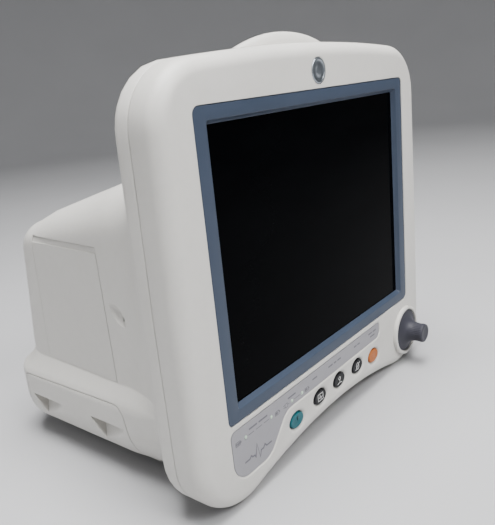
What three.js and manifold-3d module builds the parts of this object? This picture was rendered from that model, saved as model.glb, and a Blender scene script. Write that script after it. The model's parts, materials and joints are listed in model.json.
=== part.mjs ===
// Portable bedside patient monitor: a rounded display head on a flared neck that runs back into a
// box with a sloping top, a side cover, a battery flap, a connector panel and a recessed rear panel.
// Millimetres, +Z up, the display faces -Y. The origin is the middle of the footprint, at table level.
// Everything is drawn from the centre of the display's face plane: x right, y back, z up.

import * as THREE from 'three';
import { mergeVertices } from 'three/addons/utils/BufferGeometryUtils.js';
import Module from 'manifold-3d';

// ---------------------------------------------------------------- driving dimensions

const OVERALL_DEPTH = 244;
const KNOB_REACH = 19;
const REAR_Y = OVERALL_DEPTH - KNOB_REACH;
const FACE_TO_ORIGIN = KNOB_REACH - OVERALL_DEPTH / 2;
const DISPLAY_HEIGHT = 147.5;

const WALL = 3;
const GAP = 0.3;
const SEAM_GAP = 0.4;
const SLIVER = 0.004;

const HEAD = {
  halfWidth: 146, shoulder: 143.5, top: 119, topEnd: 115, cornerX: 107,
  low: -147, lowRound: 40, archSlope: 0.239,
};
const HEAD_FRONT_ROUND = 9;
const HEAD_BACK_ROUND = 7;
const SEAM_Y = 20;
const HEAD_BACK_Y = 34;

const TRIM = {
  halfWidth: 118.5, halfHeight: 90.5, radius: 4.5, front: 0.2, depth: 3.5, back: 5.3, lipX: 108.5, lipZ: 82.5,
};
const GLASS = { seenX: 106.5, seenZ: 80.5, halfWidth: 112, halfHeight: 85, thickness: 2 };

const HANDLE = { peak: 127.5, low: 94, halfLength: 72, squareness: 2 };

const BOX = { front: 88, halfWidth: 120, top: 46, bottom: -141.5, slope: 0.263, flare: 18 };
const SKIRT = { halfWidth: 129.8, ledge: -84, rise: 0.04, shoulder: -93, round: 29 };
const REAR = { edge: 204, crown: 12, lean: 12, leanFrom: -73, leanOver: 81, skirt: 9, round: 26 };

const KEY = {
  halfWidth: 7.5, halfHeight: 5.1, xs: [-52, -22.5, 4, 31, 57], middle: 4, z: -115.9, droop: 0.00118,
};
const KNOB = { x: 113, z: -118.5, ringRadius: 21, ringBore: 18.2, flange: 17.6, grip: 8 };
const BADGE = { x: 0.5, z: 101.5, radius: 8 };

const COVER = {
  front: 95.5, top: 9.7, bottom: -83.4, rearTop: { y: 164, z: 11.5 }, rearBottom: { y: 170, z: -80.4 },
};
const DOOR = { front: 84, rear: 192, top: -94.7, hingeX: -111, hingeZ: -138.6, barrel: 2.5, pin: 1.1 };
const BATTERY = { width: 52, height: 22, length: 150, x: -117.5, y: 84.6, z: -132 };

// ---------------------------------------------------------------- solid modelling helpers

const wasm = await Module();
wasm.setup();

function solid(geometry) {
  const bare = geometry.clone();
  bare.deleteAttribute('normal');
  bare.deleteAttribute('uv');
  const merged = mergeVertices(bare);
  const index = merged.index.array;
  const triVerts = [];
  for (let i = 0; i < index.length; i += 3) {
    const [a, b, c] = [index[i], index[i + 1], index[i + 2]];
    if (a !== b && b !== c && c !== a) triVerts.push(a, b, c);
  }
  const vertProperties = new Float32Array(merged.attributes.position.array);
  const mesh = new wasm.Mesh({ numProp: 3, vertProperties, triVerts: new Uint32Array(triVerts) });
  return new wasm.Manifold(mesh);
}

// Joins and cuts leave triangles with next to no height. Each is flipped across its longest side,
// which its own third corner lies on, so the surface stays the same.
function flipSlivers(positions, triangles) {
  const corner = (i) => new THREE.Vector3().fromArray(positions, 3 * i);
  const sideKey = (a, b) => `${a},${b}`;
  const sides = new Map();
  const record = (t) => [0, 1, 2].forEach((k) => {
    sides.set(sideKey(triangles[t][k], triangles[t][(k + 1) % 3]), t);
  });
  const forget = (t) => [0, 1, 2].forEach((k) => {
    sides.delete(sideKey(triangles[t][k], triangles[t][(k + 1) % 3]));
  });
  triangles.forEach((_, t) => record(t));
  for (let pass = 0; pass < 8; pass += 1) {
    triangles.forEach((triangle, t) => {
      const lengths = triangle.map((a, k) => corner(a).distanceTo(corner(triangle[(k + 1) % 3])));
      const longest = lengths.indexOf(Math.max(...lengths));
      const [a, b, c] = [0, 1, 2].map((k) => triangle[(longest + k) % 3]);
      const area = new THREE.Triangle(corner(a), corner(b), corner(c)).getArea();
      if ((2 * area) / lengths[longest] > SLIVER) return;
      const neighbour = sides.get(sideKey(b, a));
      const d = triangles[neighbour].find((v) => v !== a && v !== b);
      if (sides.has(sideKey(c, d)) || sides.has(sideKey(d, c))) return;
      forget(t);
      forget(neighbour);
      triangles[t] = [c, a, d];
      triangles[neighbour] = [d, b, c];
      record(t);
      record(neighbour);
    });
  }
  return triangles.flat();
}

function toGeometry(body) {
  const { vertProperties, triVerts } = body.getMesh();
  const triangles = Array.from({ length: triVerts.length / 3 }, (_, i) => (
    [...triVerts.slice(3 * i, 3 * i + 3)]
  ));
  const geometry = new THREE.BufferGeometry();
  geometry.setAttribute('position', new THREE.BufferAttribute(new Float32Array(vertProperties), 3));
  geometry.setIndex(flipSlivers(vertProperties, triangles));
  geometry.computeVertexNormals();
  return geometry;
}

const join = (first, ...others) => others.reduce((body, other) => body.add(other), first);
const cut = (first, ...others) => others.reduce((body, other) => body.subtract(other), first);

function block(x0, x1, y0, y1, z0, z1) {
  const geometry = new THREE.BoxGeometry(x1 - x0, y1 - y0, z1 - z0);
  geometry.translate((x0 + x1) / 2, (y0 + y1) / 2, (z0 + z1) / 2);
  return solid(geometry);
}

// The three ways to lay a drawing: its normal, and where its own x, y and extrusion directions go.
const PLANES = {
  x: new THREE.Matrix4().set(0, 0, 1, 0, 1, 0, 0, 0, 0, 1, 0, 0, 0, 0, 0, 1),
  y: new THREE.Matrix4().set(1, 0, 0, 0, 0, 0, -1, 0, 0, 1, 0, 0, 0, 0, 0, 1),
  z: new THREE.Matrix4(),
};

// A flat outline extruded along one axis from one coordinate to another
function extruded(outline, normal, from, to) {
  const geometry = new THREE.ExtrudeGeometry(new THREE.Shape(outline), {
    depth: to - from,
    bevelEnabled: false,
  });
  geometry.applyMatrix4(PLANES[normal]);
  const start = normal === 'y' ? to : from;
  geometry.translate(normal === 'x' ? start : 0, normal === 'y' ? start : 0, normal === 'z' ? start : 0);
  return solid(geometry);
}

// A profile of [radius, height] points turned about an axis through a centre point
function turned(profile, axis, [x, y, z], segments = 24) {
  const points = profile.map(([radius, height]) => new THREE.Vector2(radius, height));
  const geometry = new THREE.LatheGeometry(points, segments);
  if (axis === 'x') geometry.rotateZ(-Math.PI / 2);
  if (axis === 'z') geometry.rotateX(Math.PI / 2);
  geometry.translate(x, y, z);
  return solid(geometry);
}

// A round bar along an axis, from one height to another
function rod(axis, radius, from, to, [x, y, z], segments = 12) {
  return turned([[0, from], [radius, from], [radius, to], [0, to]], axis, [x, y, z], segments);
}

// A closed outline with a circular arc at each corner [x, y, radius], counter-clockwise
function rounded(corners, steps = 5) {
  const points = [];
  corners.forEach(([x, y, radius], i) => {
    const [beforeX, beforeY] = corners.at(i - 1);
    const [afterX, afterY] = corners[(i + 1) % corners.length];
    const corner = new THREE.Vector2(x, y);
    const before = new THREE.Vector2(beforeX - x, beforeY - y).normalize();
    const after = new THREE.Vector2(afterX - x, afterY - y).normalize();
    const half = Math.acos(THREE.MathUtils.clamp(before.dot(after), -1, 1)) / 2;
    const bisector = before.clone().add(after).normalize();
    const centre = corner.clone().addScaledVector(bisector, radius / Math.sin(half));
    const start = corner.clone().addScaledVector(before, radius / Math.tan(half)).sub(centre);
    const turn = (Math.PI - 2 * half) * Math.sign(after.cross(before));
    for (let k = 0; k <= steps; k += 1) {
      const point = start.clone().rotateAround(new THREE.Vector2(), (turn * k) / steps);
      points.push(point.add(centre));
    }
  });
  return points;
}

function rectangle(x0, x1, y0, y1, radius, steps = 4) {
  return rounded([[x0, y0, radius], [x1, y0, radius], [x1, y1, radius], [x0, y1, radius]], steps);
}

function ellipse(x, z, halfWidth, halfHeight, steps = 16) {
  return Array.from({ length: steps }, (_, i) => {
    const angle = (2 * Math.PI * i) / steps;
    return new THREE.Vector2(x + halfWidth * Math.cos(angle), z + halfHeight * Math.sin(angle));
  });
}

// The outline moved inwards by a distance
function inset(points, distance) {
  return points.map((point, i) => {
    const before = point.clone().sub(points.at(i - 1)).normalize();
    const after = points[(i + 1) % points.length].clone().sub(point).normalize();
    const inward = new THREE.Vector2(-before.y - after.y, before.x + after.x).normalize();
    const stretch = Math.max(0.5, inward.dot(new THREE.Vector2(-before.y, before.x)));
    return point.clone().addScaledVector(inward, distance / stretch);
  });
}

const ringAt = (points, y) => points.map((point) => new THREE.Vector3(point.x, y, point.y));

// A closed skin through rings of points, front to back, with a fan over each end
function loft(rings) {
  const count = rings[0].length;
  const middle = (ring) => ring.reduce((sum, p) => sum.add(p), new THREE.Vector3()).divideScalar(count);
  const points = [...rings.flat(), middle(rings[0]), middle(rings.at(-1))];
  const frontHub = points.length - 2;
  const backHub = points.length - 1;
  const last = (rings.length - 1) * count;
  const index = [];
  for (let i = 0; i < count; i += 1) {
    const next = (i + 1) % count;
    index.push(frontHub, i, next, backHub, last + next, last + i);
    for (let row = 0; row < last; row += count) {
      index.push(row + i, row + count + i, row + next);
      index.push(row + next, row + count + i, row + count + next);
    }
  }
  const geometry = new THREE.BufferGeometry().setFromPoints(points);
  geometry.setIndex(index);
  return solid(geometry);
}

// Rings that follow a quarter round of a given radius, from depth y inwards to the outline's full size
function roundIn(outline, y, radius, wall = 0, steps = 3) {
  return Array.from({ length: steps + 1 }, (_, k) => {
    const angle = (Math.PI / 2) * (k / steps);
    const depth = y + (radius - wall) * (1 - Math.cos(angle));
    return ringAt(inset(outline, wall + (radius - wall) * (1 - Math.sin(angle))), depth);
  });
}

// ---------------------------------------------------------------- materials

function paint(color, roughness, metalness = 0) {
  return new THREE.MeshStandardMaterial({ color, roughness, metalness });
}

const MATERIALS = {
  housing: paint(0xe4e0d8, 0.5),
  trim: paint(0x56617a, 0.45),
  glass: paint(0x060708, 0.1),
  label: paint(0xbdbcbf, 0.45),
  badge: paint(0x8c949c, 0.3, 0.6),
  keyTeal: paint(0x1b8a8c, 0.4),
  keyBlack: paint(0x1c1c20, 0.4),
  keyOrange: paint(0xe08a3c, 0.4),
  lens: paint(0xbfd8c0, 0.2),
  knob: paint(0x55575c, 0.5),
  steel: paint(0xb4b7ba, 0.35, 0.9),
  board: paint(0x1f5a3a, 0.6),
  dark: paint(0x2c2d30, 0.55),
  rubber: paint(0x202022, 0.85),
  battery: paint(0x3a3c42, 0.5),
  brass: paint(0xb99a4b, 0.35, 0.9),
  green: paint(0x2f8a57, 0.45),
  blue: paint(0x2f5d9c, 0.45),
  brown: paint(0x6d4a34, 0.5),
  red: paint(0xa8332e, 0.45),
  grey: paint(0x9a9b9c, 0.5),
};

const unit = new THREE.Group();
unit.position.set(0, FACE_TO_ORIGIN, DISPLAY_HEIGHT);

function piece(name, body, material) {
  const mesh = new THREE.Mesh(toGeometry(body), material);
  mesh.name = name;
  unit.add(mesh);
}

// ---------------------------------------------------------------- display head

// Front outline: crowned top, tapered sides, round corners and a shallow arch along the bottom edge
function headOutline() {
  const crownSlope = 2 * (HEAD.top - HEAD.topEnd) / HEAD.cornerX;
  const edgeTop = HEAD.topEnd - crownSlope * (HEAD.shoulder - HEAD.cornerX);
  const archAngle = Math.atan(HEAD.archSlope);
  const archStart = HEAD.halfWidth - HEAD.lowRound * (1 + Math.sin(archAngle));
  const archLift = HEAD.lowRound * (1 - Math.cos(archAngle));
  const archCorner = HEAD.low + archLift - HEAD.archSlope * (HEAD.halfWidth - archStart);
  const archPeak = archCorner + HEAD.archSlope * HEAD.halfWidth;
  const archRound = (0.96 * archStart) / Math.sin(archAngle);
  const right = [
    [HEAD.halfWidth, archCorner, HEAD.lowRound],
    [HEAD.halfWidth, -20, 400],
    [HEAD.shoulder, edgeTop, 36.5],
  ];
  const left = right.map(([x, z, radius]) => [-x, z, radius]).reverse();
  const crown = [0, HEAD.topEnd + crownSlope * HEAD.cornerX, 1400];
  const arch = [0, archPeak, archRound];
  return rounded([arch, ...right, crown, ...left], 4);
}

const HEAD_OUTLINE = headOutline();

function headFrontSolid() {
  return loft([...roundIn(HEAD_OUTLINE, 0, HEAD_FRONT_ROUND), ringAt(HEAD_OUTLINE, SEAM_Y - SEAM_GAP / 2)]);
}

function headFrontHollow() {
  const rounding = roundIn(HEAD_OUTLINE, WALL, HEAD_FRONT_ROUND, WALL);
  return loft([...rounding, ringAt(inset(HEAD_OUTLINE, WALL), SEAM_Y + 1)]);
}

function headBack(grow, wall) {
  const radius = HEAD_BACK_ROUND;
  const rounding = roundIn(HEAD_OUTLINE, 0, radius, wall).reverse().map((ring) => ring.map((point) => {
    const depth = HEAD_BACK_Y + grow - point.y - wall;
    return new THREE.Vector3(point.x, depth, point.z);
  }));
  const start = SEAM_Y + SEAM_GAP / 2 - (wall > 0 ? 1 : 0);
  return loft([ringAt(inset(HEAD_OUTLINE, wall), start), ...rounding]);
}

// The keys follow the arch of the head's lower edge
const keyZ = (x) => KEY.z - KEY.droop * (x - KEY.middle) ** 2;

// Label panel: a band under the display with a rounded lobe at its left end
function labelOutline(margin = 0) {
  const band = [[68, -106.4, 6], [68, -94.5, 2], [-118, -94.5, 4]];
  const lobe = [[-117.5, -128.5, 13], [-83, -128.5, 16], [-63, -106.4, 14]];
  return inset(rounded([...band, ...lobe], 4), -margin);
}

const LAMPS = [
  ['charge_lamp_left', -105, -103],
  ['charge_lamp_right', -79, -103],
  ['mains_lamp', -56, -103],
  ['battery_lamp', -44, -103],
];

const HEAD_SCREWS = [[-118, 101], [118, 101]];

function frontHousing() {
  const knobPad = rod('y', KNOB.ringRadius + 3, 1.2, 5.2, [KNOB.x, 0, KNOB.z], 28);
  const outer = headFrontSolid();
  const bosses = HEAD_SCREWS.map(([x, z]) => rod('y', 4, WALL - 0.5, 29, [x, 0, z], 12));
  let shell = join(cut(outer, headFrontHollow()), knobPad.intersect(outer), ...bosses);
  const trimHole = rectangle(
    -TRIM.halfWidth - GAP, TRIM.halfWidth + GAP,
    -TRIM.halfHeight - GAP, TRIM.halfHeight + GAP, TRIM.radius + GAP, 3,
  );
  shell = cut(shell, extruded(trimHole, 'y', -5, 12));
  shell = cut(shell, extruded(labelOutline(GAP), 'y', -1, 0.8));
  KEY.xs.forEach((x) => {
    const dish = loft([
      ringAt(ellipse(x, keyZ(x), KEY.halfWidth + 2.6, KEY.halfHeight + 2.6), -0.2),
      ringAt(ellipse(x, keyZ(x), KEY.halfWidth + 0.4, KEY.halfHeight + 0.4), 1.6),
      ringAt(ellipse(x, keyZ(x), KEY.halfWidth + 0.4, KEY.halfHeight + 0.4), WALL + 1),
    ]);
    shell = cut(shell, dish);
  });
  shell = cut(shell, rod('y', KNOB.ringRadius + GAP, -5, 1.6, [KNOB.x, 0, KNOB.z], 36));
  shell = cut(shell, rod('y', 5.3, -5, 8, [KNOB.x, 0, KNOB.z]));
  shell = cut(shell, rod('y', BADGE.radius + GAP, -5, 1.2, [BADGE.x, 0, BADGE.z], 24));
  LAMPS.forEach(([, x, z]) => {
    shell = cut(shell, rod('y', 1.5, -5, 8, [x, 0, z], 12));
  });
  HEAD_SCREWS.forEach(([x, z]) => {
    shell = cut(shell, rod('y', 1.6, 12, 40, [x, 0, z], 12));
  });
  return shell;
}

function glassPlate(margin, from, to) {
  const [x, z] = [GLASS.halfWidth + margin, GLASS.halfHeight + margin];
  return extruded(rectangle(-x, x, -z, z, 2), 'y', from, to);
}

function displayTrim() {
  const frame = rectangle(
    -TRIM.halfWidth, TRIM.halfWidth, -TRIM.halfHeight, TRIM.halfHeight, TRIM.radius, 3,
  );
  const bar = extruded(frame, 'y', TRIM.front, TRIM.back);
  const flange = extruded(inset(frame, -2.5), 'y', WALL + GAP, TRIM.back);
  const front = rectangle(-TRIM.lipX, TRIM.lipX, -TRIM.lipZ, TRIM.lipZ, 1.5, 2);
  const back = rectangle(-GLASS.seenX, GLASS.seenX, -GLASS.seenZ, GLASS.seenZ, 1, 2);
  const well = loft([ringAt(front, -1), ringAt(front, 0.6), ringAt(back, TRIM.depth), ringAt(back, 9)]);
  return cut(join(bar, flange), well, glassPlate(GAP, TRIM.depth, 9));
}

function displayPieces() {
  const glassY = TRIM.depth + GAP;
  piece('display_trim', displayTrim(), MATERIALS.trim);
  piece('display_window', glassPlate(0, glassY, glassY + GLASS.thickness), MATERIALS.glass);
  piece('display_panel', extruded(rectangle(-114, 114, -87, 87, 1.5), 'y', 9.6, 17.6), MATERIALS.dark);
  const lugs = [-1, 1].flatMap((side) => [-70, 70].map((z) => {
    const inner = side * 112;
    const outer = side * 122;
    return block(Math.min(inner, outer), Math.max(inner, outer), 18, 19.4, z - 7, z + 7);
  }));
  const sheet = extruded(rectangle(-113, 113, -86, 86, 3), 'y', 18, 19.4);
  piece('display_bracket', join(sheet, ...lugs), MATERIALS.steel);
  const inverter = join(
    block(-60, 60, 21, 22.6, -80, -60),
    block(-50, -20, 22.4, 29, -77, -63),
    block(10, 24, 22.4, 27, -76, -64),
  );
  piece('backlight_inverter', inverter, MATERIALS.board);
}

// ---------------------------------------------------------------- controls on the face

const KEY_NAMES = ['power_key', 'graph_key', 'cuff_key', 'zero_key', 'silence_key'];
const KEY_FINISHES = ['keyTeal', 'keyBlack', 'keyBlack', 'keyBlack', 'keyOrange'];

function keyCap(x) {
  const z = keyZ(x);
  const cap = loft([
    ringAt(ellipse(x, z, KEY.halfWidth - 1, KEY.halfHeight - 1), 0.1),
    ringAt(ellipse(x, z, KEY.halfWidth, KEY.halfHeight), 0.8),
    ringAt(ellipse(x, z, KEY.halfWidth, KEY.halfHeight), WALL + 0.6),
  ]);
  const flange = loft([
    ringAt(ellipse(x, z, KEY.halfWidth + 1.4, KEY.halfHeight + 1.4), WALL + GAP),
    ringAt(ellipse(x, z, KEY.halfWidth + 1.4, KEY.halfHeight + 1.4), WALL + 1.5),
  ]);
  return join(cap, flange, rod('y', 2, WALL + 1, 6.2, [x, 0, z], 12));
}

function controlPieces() {
  KEY.xs.forEach((x, i) => piece(KEY_NAMES[i], keyCap(x), MATERIALS[KEY_FINISHES[i]]));

  const switches = KEY.xs.map((x) => block(x - 3, x + 3, 7.6, 10.4, keyZ(x) - 3, keyZ(x) + 3));
  const boardOutline = rectangle(-112, 68, -124, -108.6, 2, 2);
  piece('keypad_board', join(extruded(boardOutline, 'y', 10.2, 11.8), ...switches), MATERIALS.board);

  let label = extruded(labelOutline(), 'y', 0, 0.5);
  LAMPS.forEach(([name, x, z]) => {
    label = cut(label, rod('y', 1.5, -1, 2, [x, 0, z], 12));
    piece(name, rod('y', 1.2, -0.1, 7, [x, 0, z], 12), MATERIALS.lens);
  });
  piece('label_panel', label, MATERIALS.label);

  const badge = turned([[0, -0.5], [7, -0.5], [BADGE.radius, 0.1], [BADGE.radius, 0.9], [0, 0.9]],
    'y', [BADGE.x, 0, BADGE.z], 24);
  piece('badge', badge, MATERIALS.badge);

  const axis = [KNOB.x, 0, KNOB.z];
  const ring = [
    [KNOB.ringBore, 1.3], [KNOB.ringBore, -2.2], [KNOB.ringBore + 0.8, -3],
    [KNOB.ringRadius - 0.9, -3], [KNOB.ringRadius, -2], [KNOB.ringRadius, 1.3], [KNOB.ringBore, 1.3],
  ];
  piece('knob_ring', turned(ring, 'y', axis, 32), MATERIALS.housing);

  const knob = [
    [3.2, -1], [3.2, -13], [0, -13], [0, -KNOB_REACH], [KNOB.grip - 1, -KNOB_REACH],
    [KNOB.grip, -KNOB_REACH + 1], [KNOB.grip - 0.4, -11.5], [KNOB.grip + 0.6, -8], [11, -5.4],
    [14.2, -3.4], [KNOB.flange, -1.9], [KNOB.flange, -1], [3.2, -1],
  ];
  piece('trim_knob', turned(knob, 'y', axis, 24), MATERIALS.knob);
  const flat = block(KNOB.x + 2.4, KNOB.x + 5, -13, -2, KNOB.z - 4, KNOB.z + 4);
  piece('encoder_shaft', cut(rod('y', 3, -12.6, 19, axis, 16), flat), MATERIALS.steel);
  const rotor = [[3.2, 9], [5.8, 9], [5.8, 12], [3.2, 12], [3.2, 9]];
  piece('encoder_rotor', turned(rotor, 'y', axis, 20), MATERIALS.brass);
  const can = block(KNOB.x - 8, KNOB.x + 8, 6.4, 15, KNOB.z - 8, KNOB.z + 8);
  const bushing = rod('y', 4.9, 0.3, 7, axis, 20);
  const chamber = rod('y', 6.2, 8.6, 12.4, axis, 20);
  const bore = rod('y', 3.4, -5, 20, axis, 16);
  piece('encoder_body', cut(join(can, bushing), chamber, bore), MATERIALS.steel);
}

// ---------------------------------------------------------------- rear housing

// How far the neck has opened out from the box (0) to the head (1) at depth y
const flareAt = (y) => THREE.MathUtils.clamp((BOX.front - y) / (BOX.front - HEAD_BACK_Y), 0, 1);

function boxWidth(y) {
  const flare = flareAt(y);
  return BOX.halfWidth + BOX.flare * flare ** 2;
}

function boxTop(y) {
  const flare = flareAt(y);
  return BOX.top + BOX.flare * flare ** 2 - BOX.slope * Math.max(0, y - BOX.front);
}

function boxSection(y, wall) {
  const side = boxWidth(y) - wall;
  const skirt = Math.max(SKIRT.halfWidth, boxWidth(y) + 0.4) - wall;
  const top = boxTop(y) - wall;
  const shoulderDrop = 4 * THREE.MathUtils.clamp((y - BOX.front) / BOX.front, 0, 1);
  const ledge = SKIRT.ledge + SKIRT.rise * Math.max(0, y - COVER.front) - wall * 0.4;
  const edgeRound = (y < BOX.front ? 30 : 30 - 0.16 * (y - BOX.front)) - wall;
  const lowRound = SKIRT.round + 0.18 * Math.max(0, BOX.front - y) - wall;
  const right = [
    [skirt, BOX.bottom + wall, lowRound],
    [skirt, SKIRT.shoulder - wall * 0.4, 12],
    [side, ledge, 2],
    [side, top - shoulderDrop, edgeRound],
  ];
  const left = right.map(([x, z, radius]) => [-x, z, radius]).reverse();
  return rounded([[0, BOX.bottom + wall - 0.2, 2e4], ...right, [0, top + 2, 600], ...left], 3);
}

// The rear face leans forward towards the top, is crowned across, and steps out at the skirt
function rearDepth(x, z) {
  const lean = THREE.MathUtils.clamp((z - REAR.leanFrom) / REAR.leanOver, 0, 1.4) * REAR.lean;
  const skirt = THREE.MathUtils.smoothstep(-z, -SKIRT.ledge, -SKIRT.shoulder) * REAR.skirt;
  const crown = REAR.crown * Math.max(0, 1 - (x / SKIRT.halfWidth) ** 2);
  return REAR.edge - lean + skirt + crown;
}

function boxSolid(wall) {
  const middleZ = (BOX.bottom + 20) / 2;
  const shrink = (ring, sideways, upwards) => ring.map((point) => new THREE.Vector2(
    point.x * (1 - sideways / BOX.halfWidth),
    middleZ + (point.y - middleZ) * (1 - upwards / (20 - middleZ)),
  ));
  const follow = (ring, back) => ring.map((point) => (
    new THREE.Vector3(point.x, rearDepth(point.x, point.y) - wall - back, point.y)
  ));
  const start = wall > 0 ? 22 : 24;
  const stations = [start, 34, 42, 51, 62, 74, 88, 150];
  const rings = stations.map((y) => ringAt(boxSection(y, wall), y));
  const radius = REAR.round - wall;
  for (let k = 0; k <= 4; k += 1) {
    const angle = (Math.PI / 2) * (k / 4);
    const section = boxSection(176 + radius * Math.sin(angle), wall);
    const pulled = shrink(section, radius * (1 - Math.cos(angle)), 0.55 * radius * (1 - Math.cos(angle)));
    rings.push(follow(pulled, radius * (1 - Math.sin(angle))));
  }
  [0.7, 0.35].forEach((scale) => {
    const section = boxSection(200, wall).map((point) => new THREE.Vector2(
      point.x * 0.78 * scale, middleZ + (point.y - middleZ) * 0.82 * scale,
    ));
    rings.push(follow(section, 0));
  });
  return loft(rings);
}

// Recesses for the two connector panels; each has its own walls, so it is closed towards the inside
const REAR_PANEL = { x0: -72, x1: 72, z0: -76, z1: -14, floor: 199 };
const SIDE_PANEL = { y0: 98, y1: 170, z0: -76, z1: 8, floor: 110 };
const REAR_SCREWS = [[-96, -118], [96, -118]];
const FEET = [[-88, 74], [88, 74], [-88, 182], [88, 182]];

function doorPrism(margin) {
  const outline = rounded([
    [DOOR.front - 12 - margin, -152, 1],
    [DOOR.rear + margin, -152, 1],
    [DOOR.rear + margin, DOOR.top + margin, 3],
    [DOOR.front - margin, DOOR.top + 0.5 + margin, 10],
  ], 4);
  return extruded(outline, 'x', -145, DOOR.hingeX + margin);
}

function coverPrism(margin) {
  const close = margin * 0.4;
  const outline = [
    [COVER.front - margin, COVER.bottom - close],
    [COVER.rearBottom.y + close, COVER.rearBottom.z - close],
    [COVER.rearTop.y + close, COVER.rearTop.z + margin],
    [COVER.front - margin, COVER.top + margin],
  ].map(([y, z]) => new THREE.Vector2(y, z));
  return extruded(outline, 'x', -130, -100);
}

const SCOOPS = [[90, 118], [157, 186]];

// Finger scoop in the flap: a slanting pocket with an overhanging upper lip
function scoop(y0, y1, margin) {
  const outline = rounded([
    [-146, -129 - margin, 1], [-120 + margin, -129 - margin, 4],
    [-116 + margin, -111.5 + margin, 3], [-146, -109.5 + margin, 1],
  ], 3);
  return extruded(outline, 'y', y0 - margin, y1 + margin);
}

const boxOuter = boxSolid(0);
const boxInner = boxSolid(WALL);

function rearHousing() {
  const bossed = REAR_SCREWS.map(([x, z]) => rod('y', 6.5, rearDepth(x, z) - 14, REAR_Y, [x, 0, z], 16));
  const rearCollar = block(
    REAR_PANEL.x0 - 2.5, REAR_PANEL.x1 + 2.5, REAR_PANEL.floor - 2, REAR_Y,
    REAR_PANEL.z0 - 2.5, REAR_PANEL.z1 + 2.5,
  );
  const sideCollar = block(
    SIDE_PANEL.floor - 2, 130, SIDE_PANEL.y0 - 2.5, SIDE_PANEL.y1 + 2.5,
    SIDE_PANEL.z0 - 2.5, SIDE_PANEL.z1 + 2.5,
  );
  const hingeBlocks = [[64, 71], [DOOR.rear + 0.6, DOOR.rear + 5]].map(([y0, y1]) => (
    block(DOOR.hingeX - 4, DOOR.hingeX + 6, y0, y1, BOX.bottom + 1, DOOR.hingeZ + 4)
  ));
  const liners = join(rearCollar, sideCollar, ...bossed, ...hingeBlocks).intersect(boxOuter);
  let shell = cut(join(headBack(0, 0), boxOuter), headBack(0, WALL), boxInner);
  shell = join(shell, liners);
  shell = cut(
    shell,
    block(REAR_PANEL.x0, REAR_PANEL.x1, REAR_PANEL.floor, 240, REAR_PANEL.z0, REAR_PANEL.z1),
    block(-66, 66, 180, 240, REAR_PANEL.z0 + 5, REAR_PANEL.z1 - 5),
    block(SIDE_PANEL.floor, 150, SIDE_PANEL.y0, SIDE_PANEL.y1, SIDE_PANEL.z0, SIDE_PANEL.z1),
    block(100, 150, SIDE_PANEL.y0 + 4, SIDE_PANEL.y1 - 4, SIDE_PANEL.z0 + 4, SIDE_PANEL.z1 - 4),
    doorPrism(0.6),
    coverPrism(0.5),
    rod('y', DOOR.barrel + 0.9, 70.6, DOOR.rear + 0.6, [DOOR.hingeX, 0, DOOR.hingeZ], 16),
    rod('y', DOOR.pin + 0.2, 66, DOOR.rear + 4, [DOOR.hingeX, 0, DOOR.hingeZ], 10),
  );
  HEAD_SCREWS.forEach(([x, z]) => {
    shell = cut(shell, rod('y', 4, 31.8, 45, [x, 0, z], 16), rod('y', 2, 25, 45, [x, 0, z], 12));
  });
  REAR_SCREWS.forEach(([x, z]) => {
    const seat = rearDepth(x, z) - 7;
    shell = cut(shell, rod('y', 4, seat, 240, [x, 0, z], 16), rod('y', 2, seat - 12, 240, [x, 0, z], 12));
  });
  FEET.forEach(([x, y]) => {
    shell = cut(shell, rod('z', 2.8, BOX.bottom - 5, BOX.bottom + 6, [x, y, 0], 12));
  });
  for (let i = 0; i < 9; i += 1) {
    const x = -64 + 16 * i;
    shell = cut(shell, block(x - 2, x + 2, 185, 240, -8, 8));
  }
  const leaf = new THREE.SphereGeometry(1, 16, 10);
  leaf.scale(4.2, 9.4, 4);
  leaf.rotateX(Math.PI / 4);
  leaf.translate(-boxWidth(82) - 2, 82.5, -33);
  shell = cut(shell, solid(leaf), block(-126, -116, 78.6, 79.8, -36.4, -31.6));
  return shell;
}

// ---------------------------------------------------------------- handle

// Outline of a slice through the grip: flat below, a full arch above
function gripOutline(halfLength, low, peak) {
  const power = 2 / HANDLE.squareness;
  const steps = 14;
  return Array.from({ length: steps + 1 }, (_, i) => {
    const angle = (Math.PI * i) / steps;
    const across = Math.sign(Math.cos(angle)) * Math.abs(Math.cos(angle)) ** power;
    return new THREE.Vector2(halfLength * across, low + (peak - low) * Math.sin(angle) ** power);
  });
}

// Grip that swells up close behind the top edge and slopes down to the rear, over a finger pocket
function carryHandle() {
  const rise = [
    [SEAM_Y + 0.8, 5, 0.9], [22.6, 1.4, 0.96], [25.5, 0, 1], [31, 1.5, 1], [38, 5, 0.99],
    [46, 9.5, 0.98], [54, 14.5, 0.96], [62, 20, 0.93], [69, 26, 0.88],
  ];
  const rings = rise.map(([y, drop, reach]) => {
    const low = HANDLE.low + 0.8 * Math.max(0, y - 67);
    return ringAt(gripOutline(HANDLE.halfLength * reach, low, HANDLE.peak - drop), y);
  });
  const pocket = extruded(rounded([
    [36.8, 88, 1], [58, 88, 1], [58, 104, 5], [36.8, 111, 4],
  ], 3), 'x', -46, 46);
  return cut(loft(rings), headBack(GAP, -GAP), pocket);
}

// ---------------------------------------------------------------- left side: cover, flap, batteries

function sideCover() {
  const skin = cut(boxOuter, boxInner).intersect(coverPrism(0));
  const hooks = [106, 150].map((y) => block(-118, -114.5, y, y + 8, -60, -52));
  return join(skin, ...hooks);
}

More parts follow.
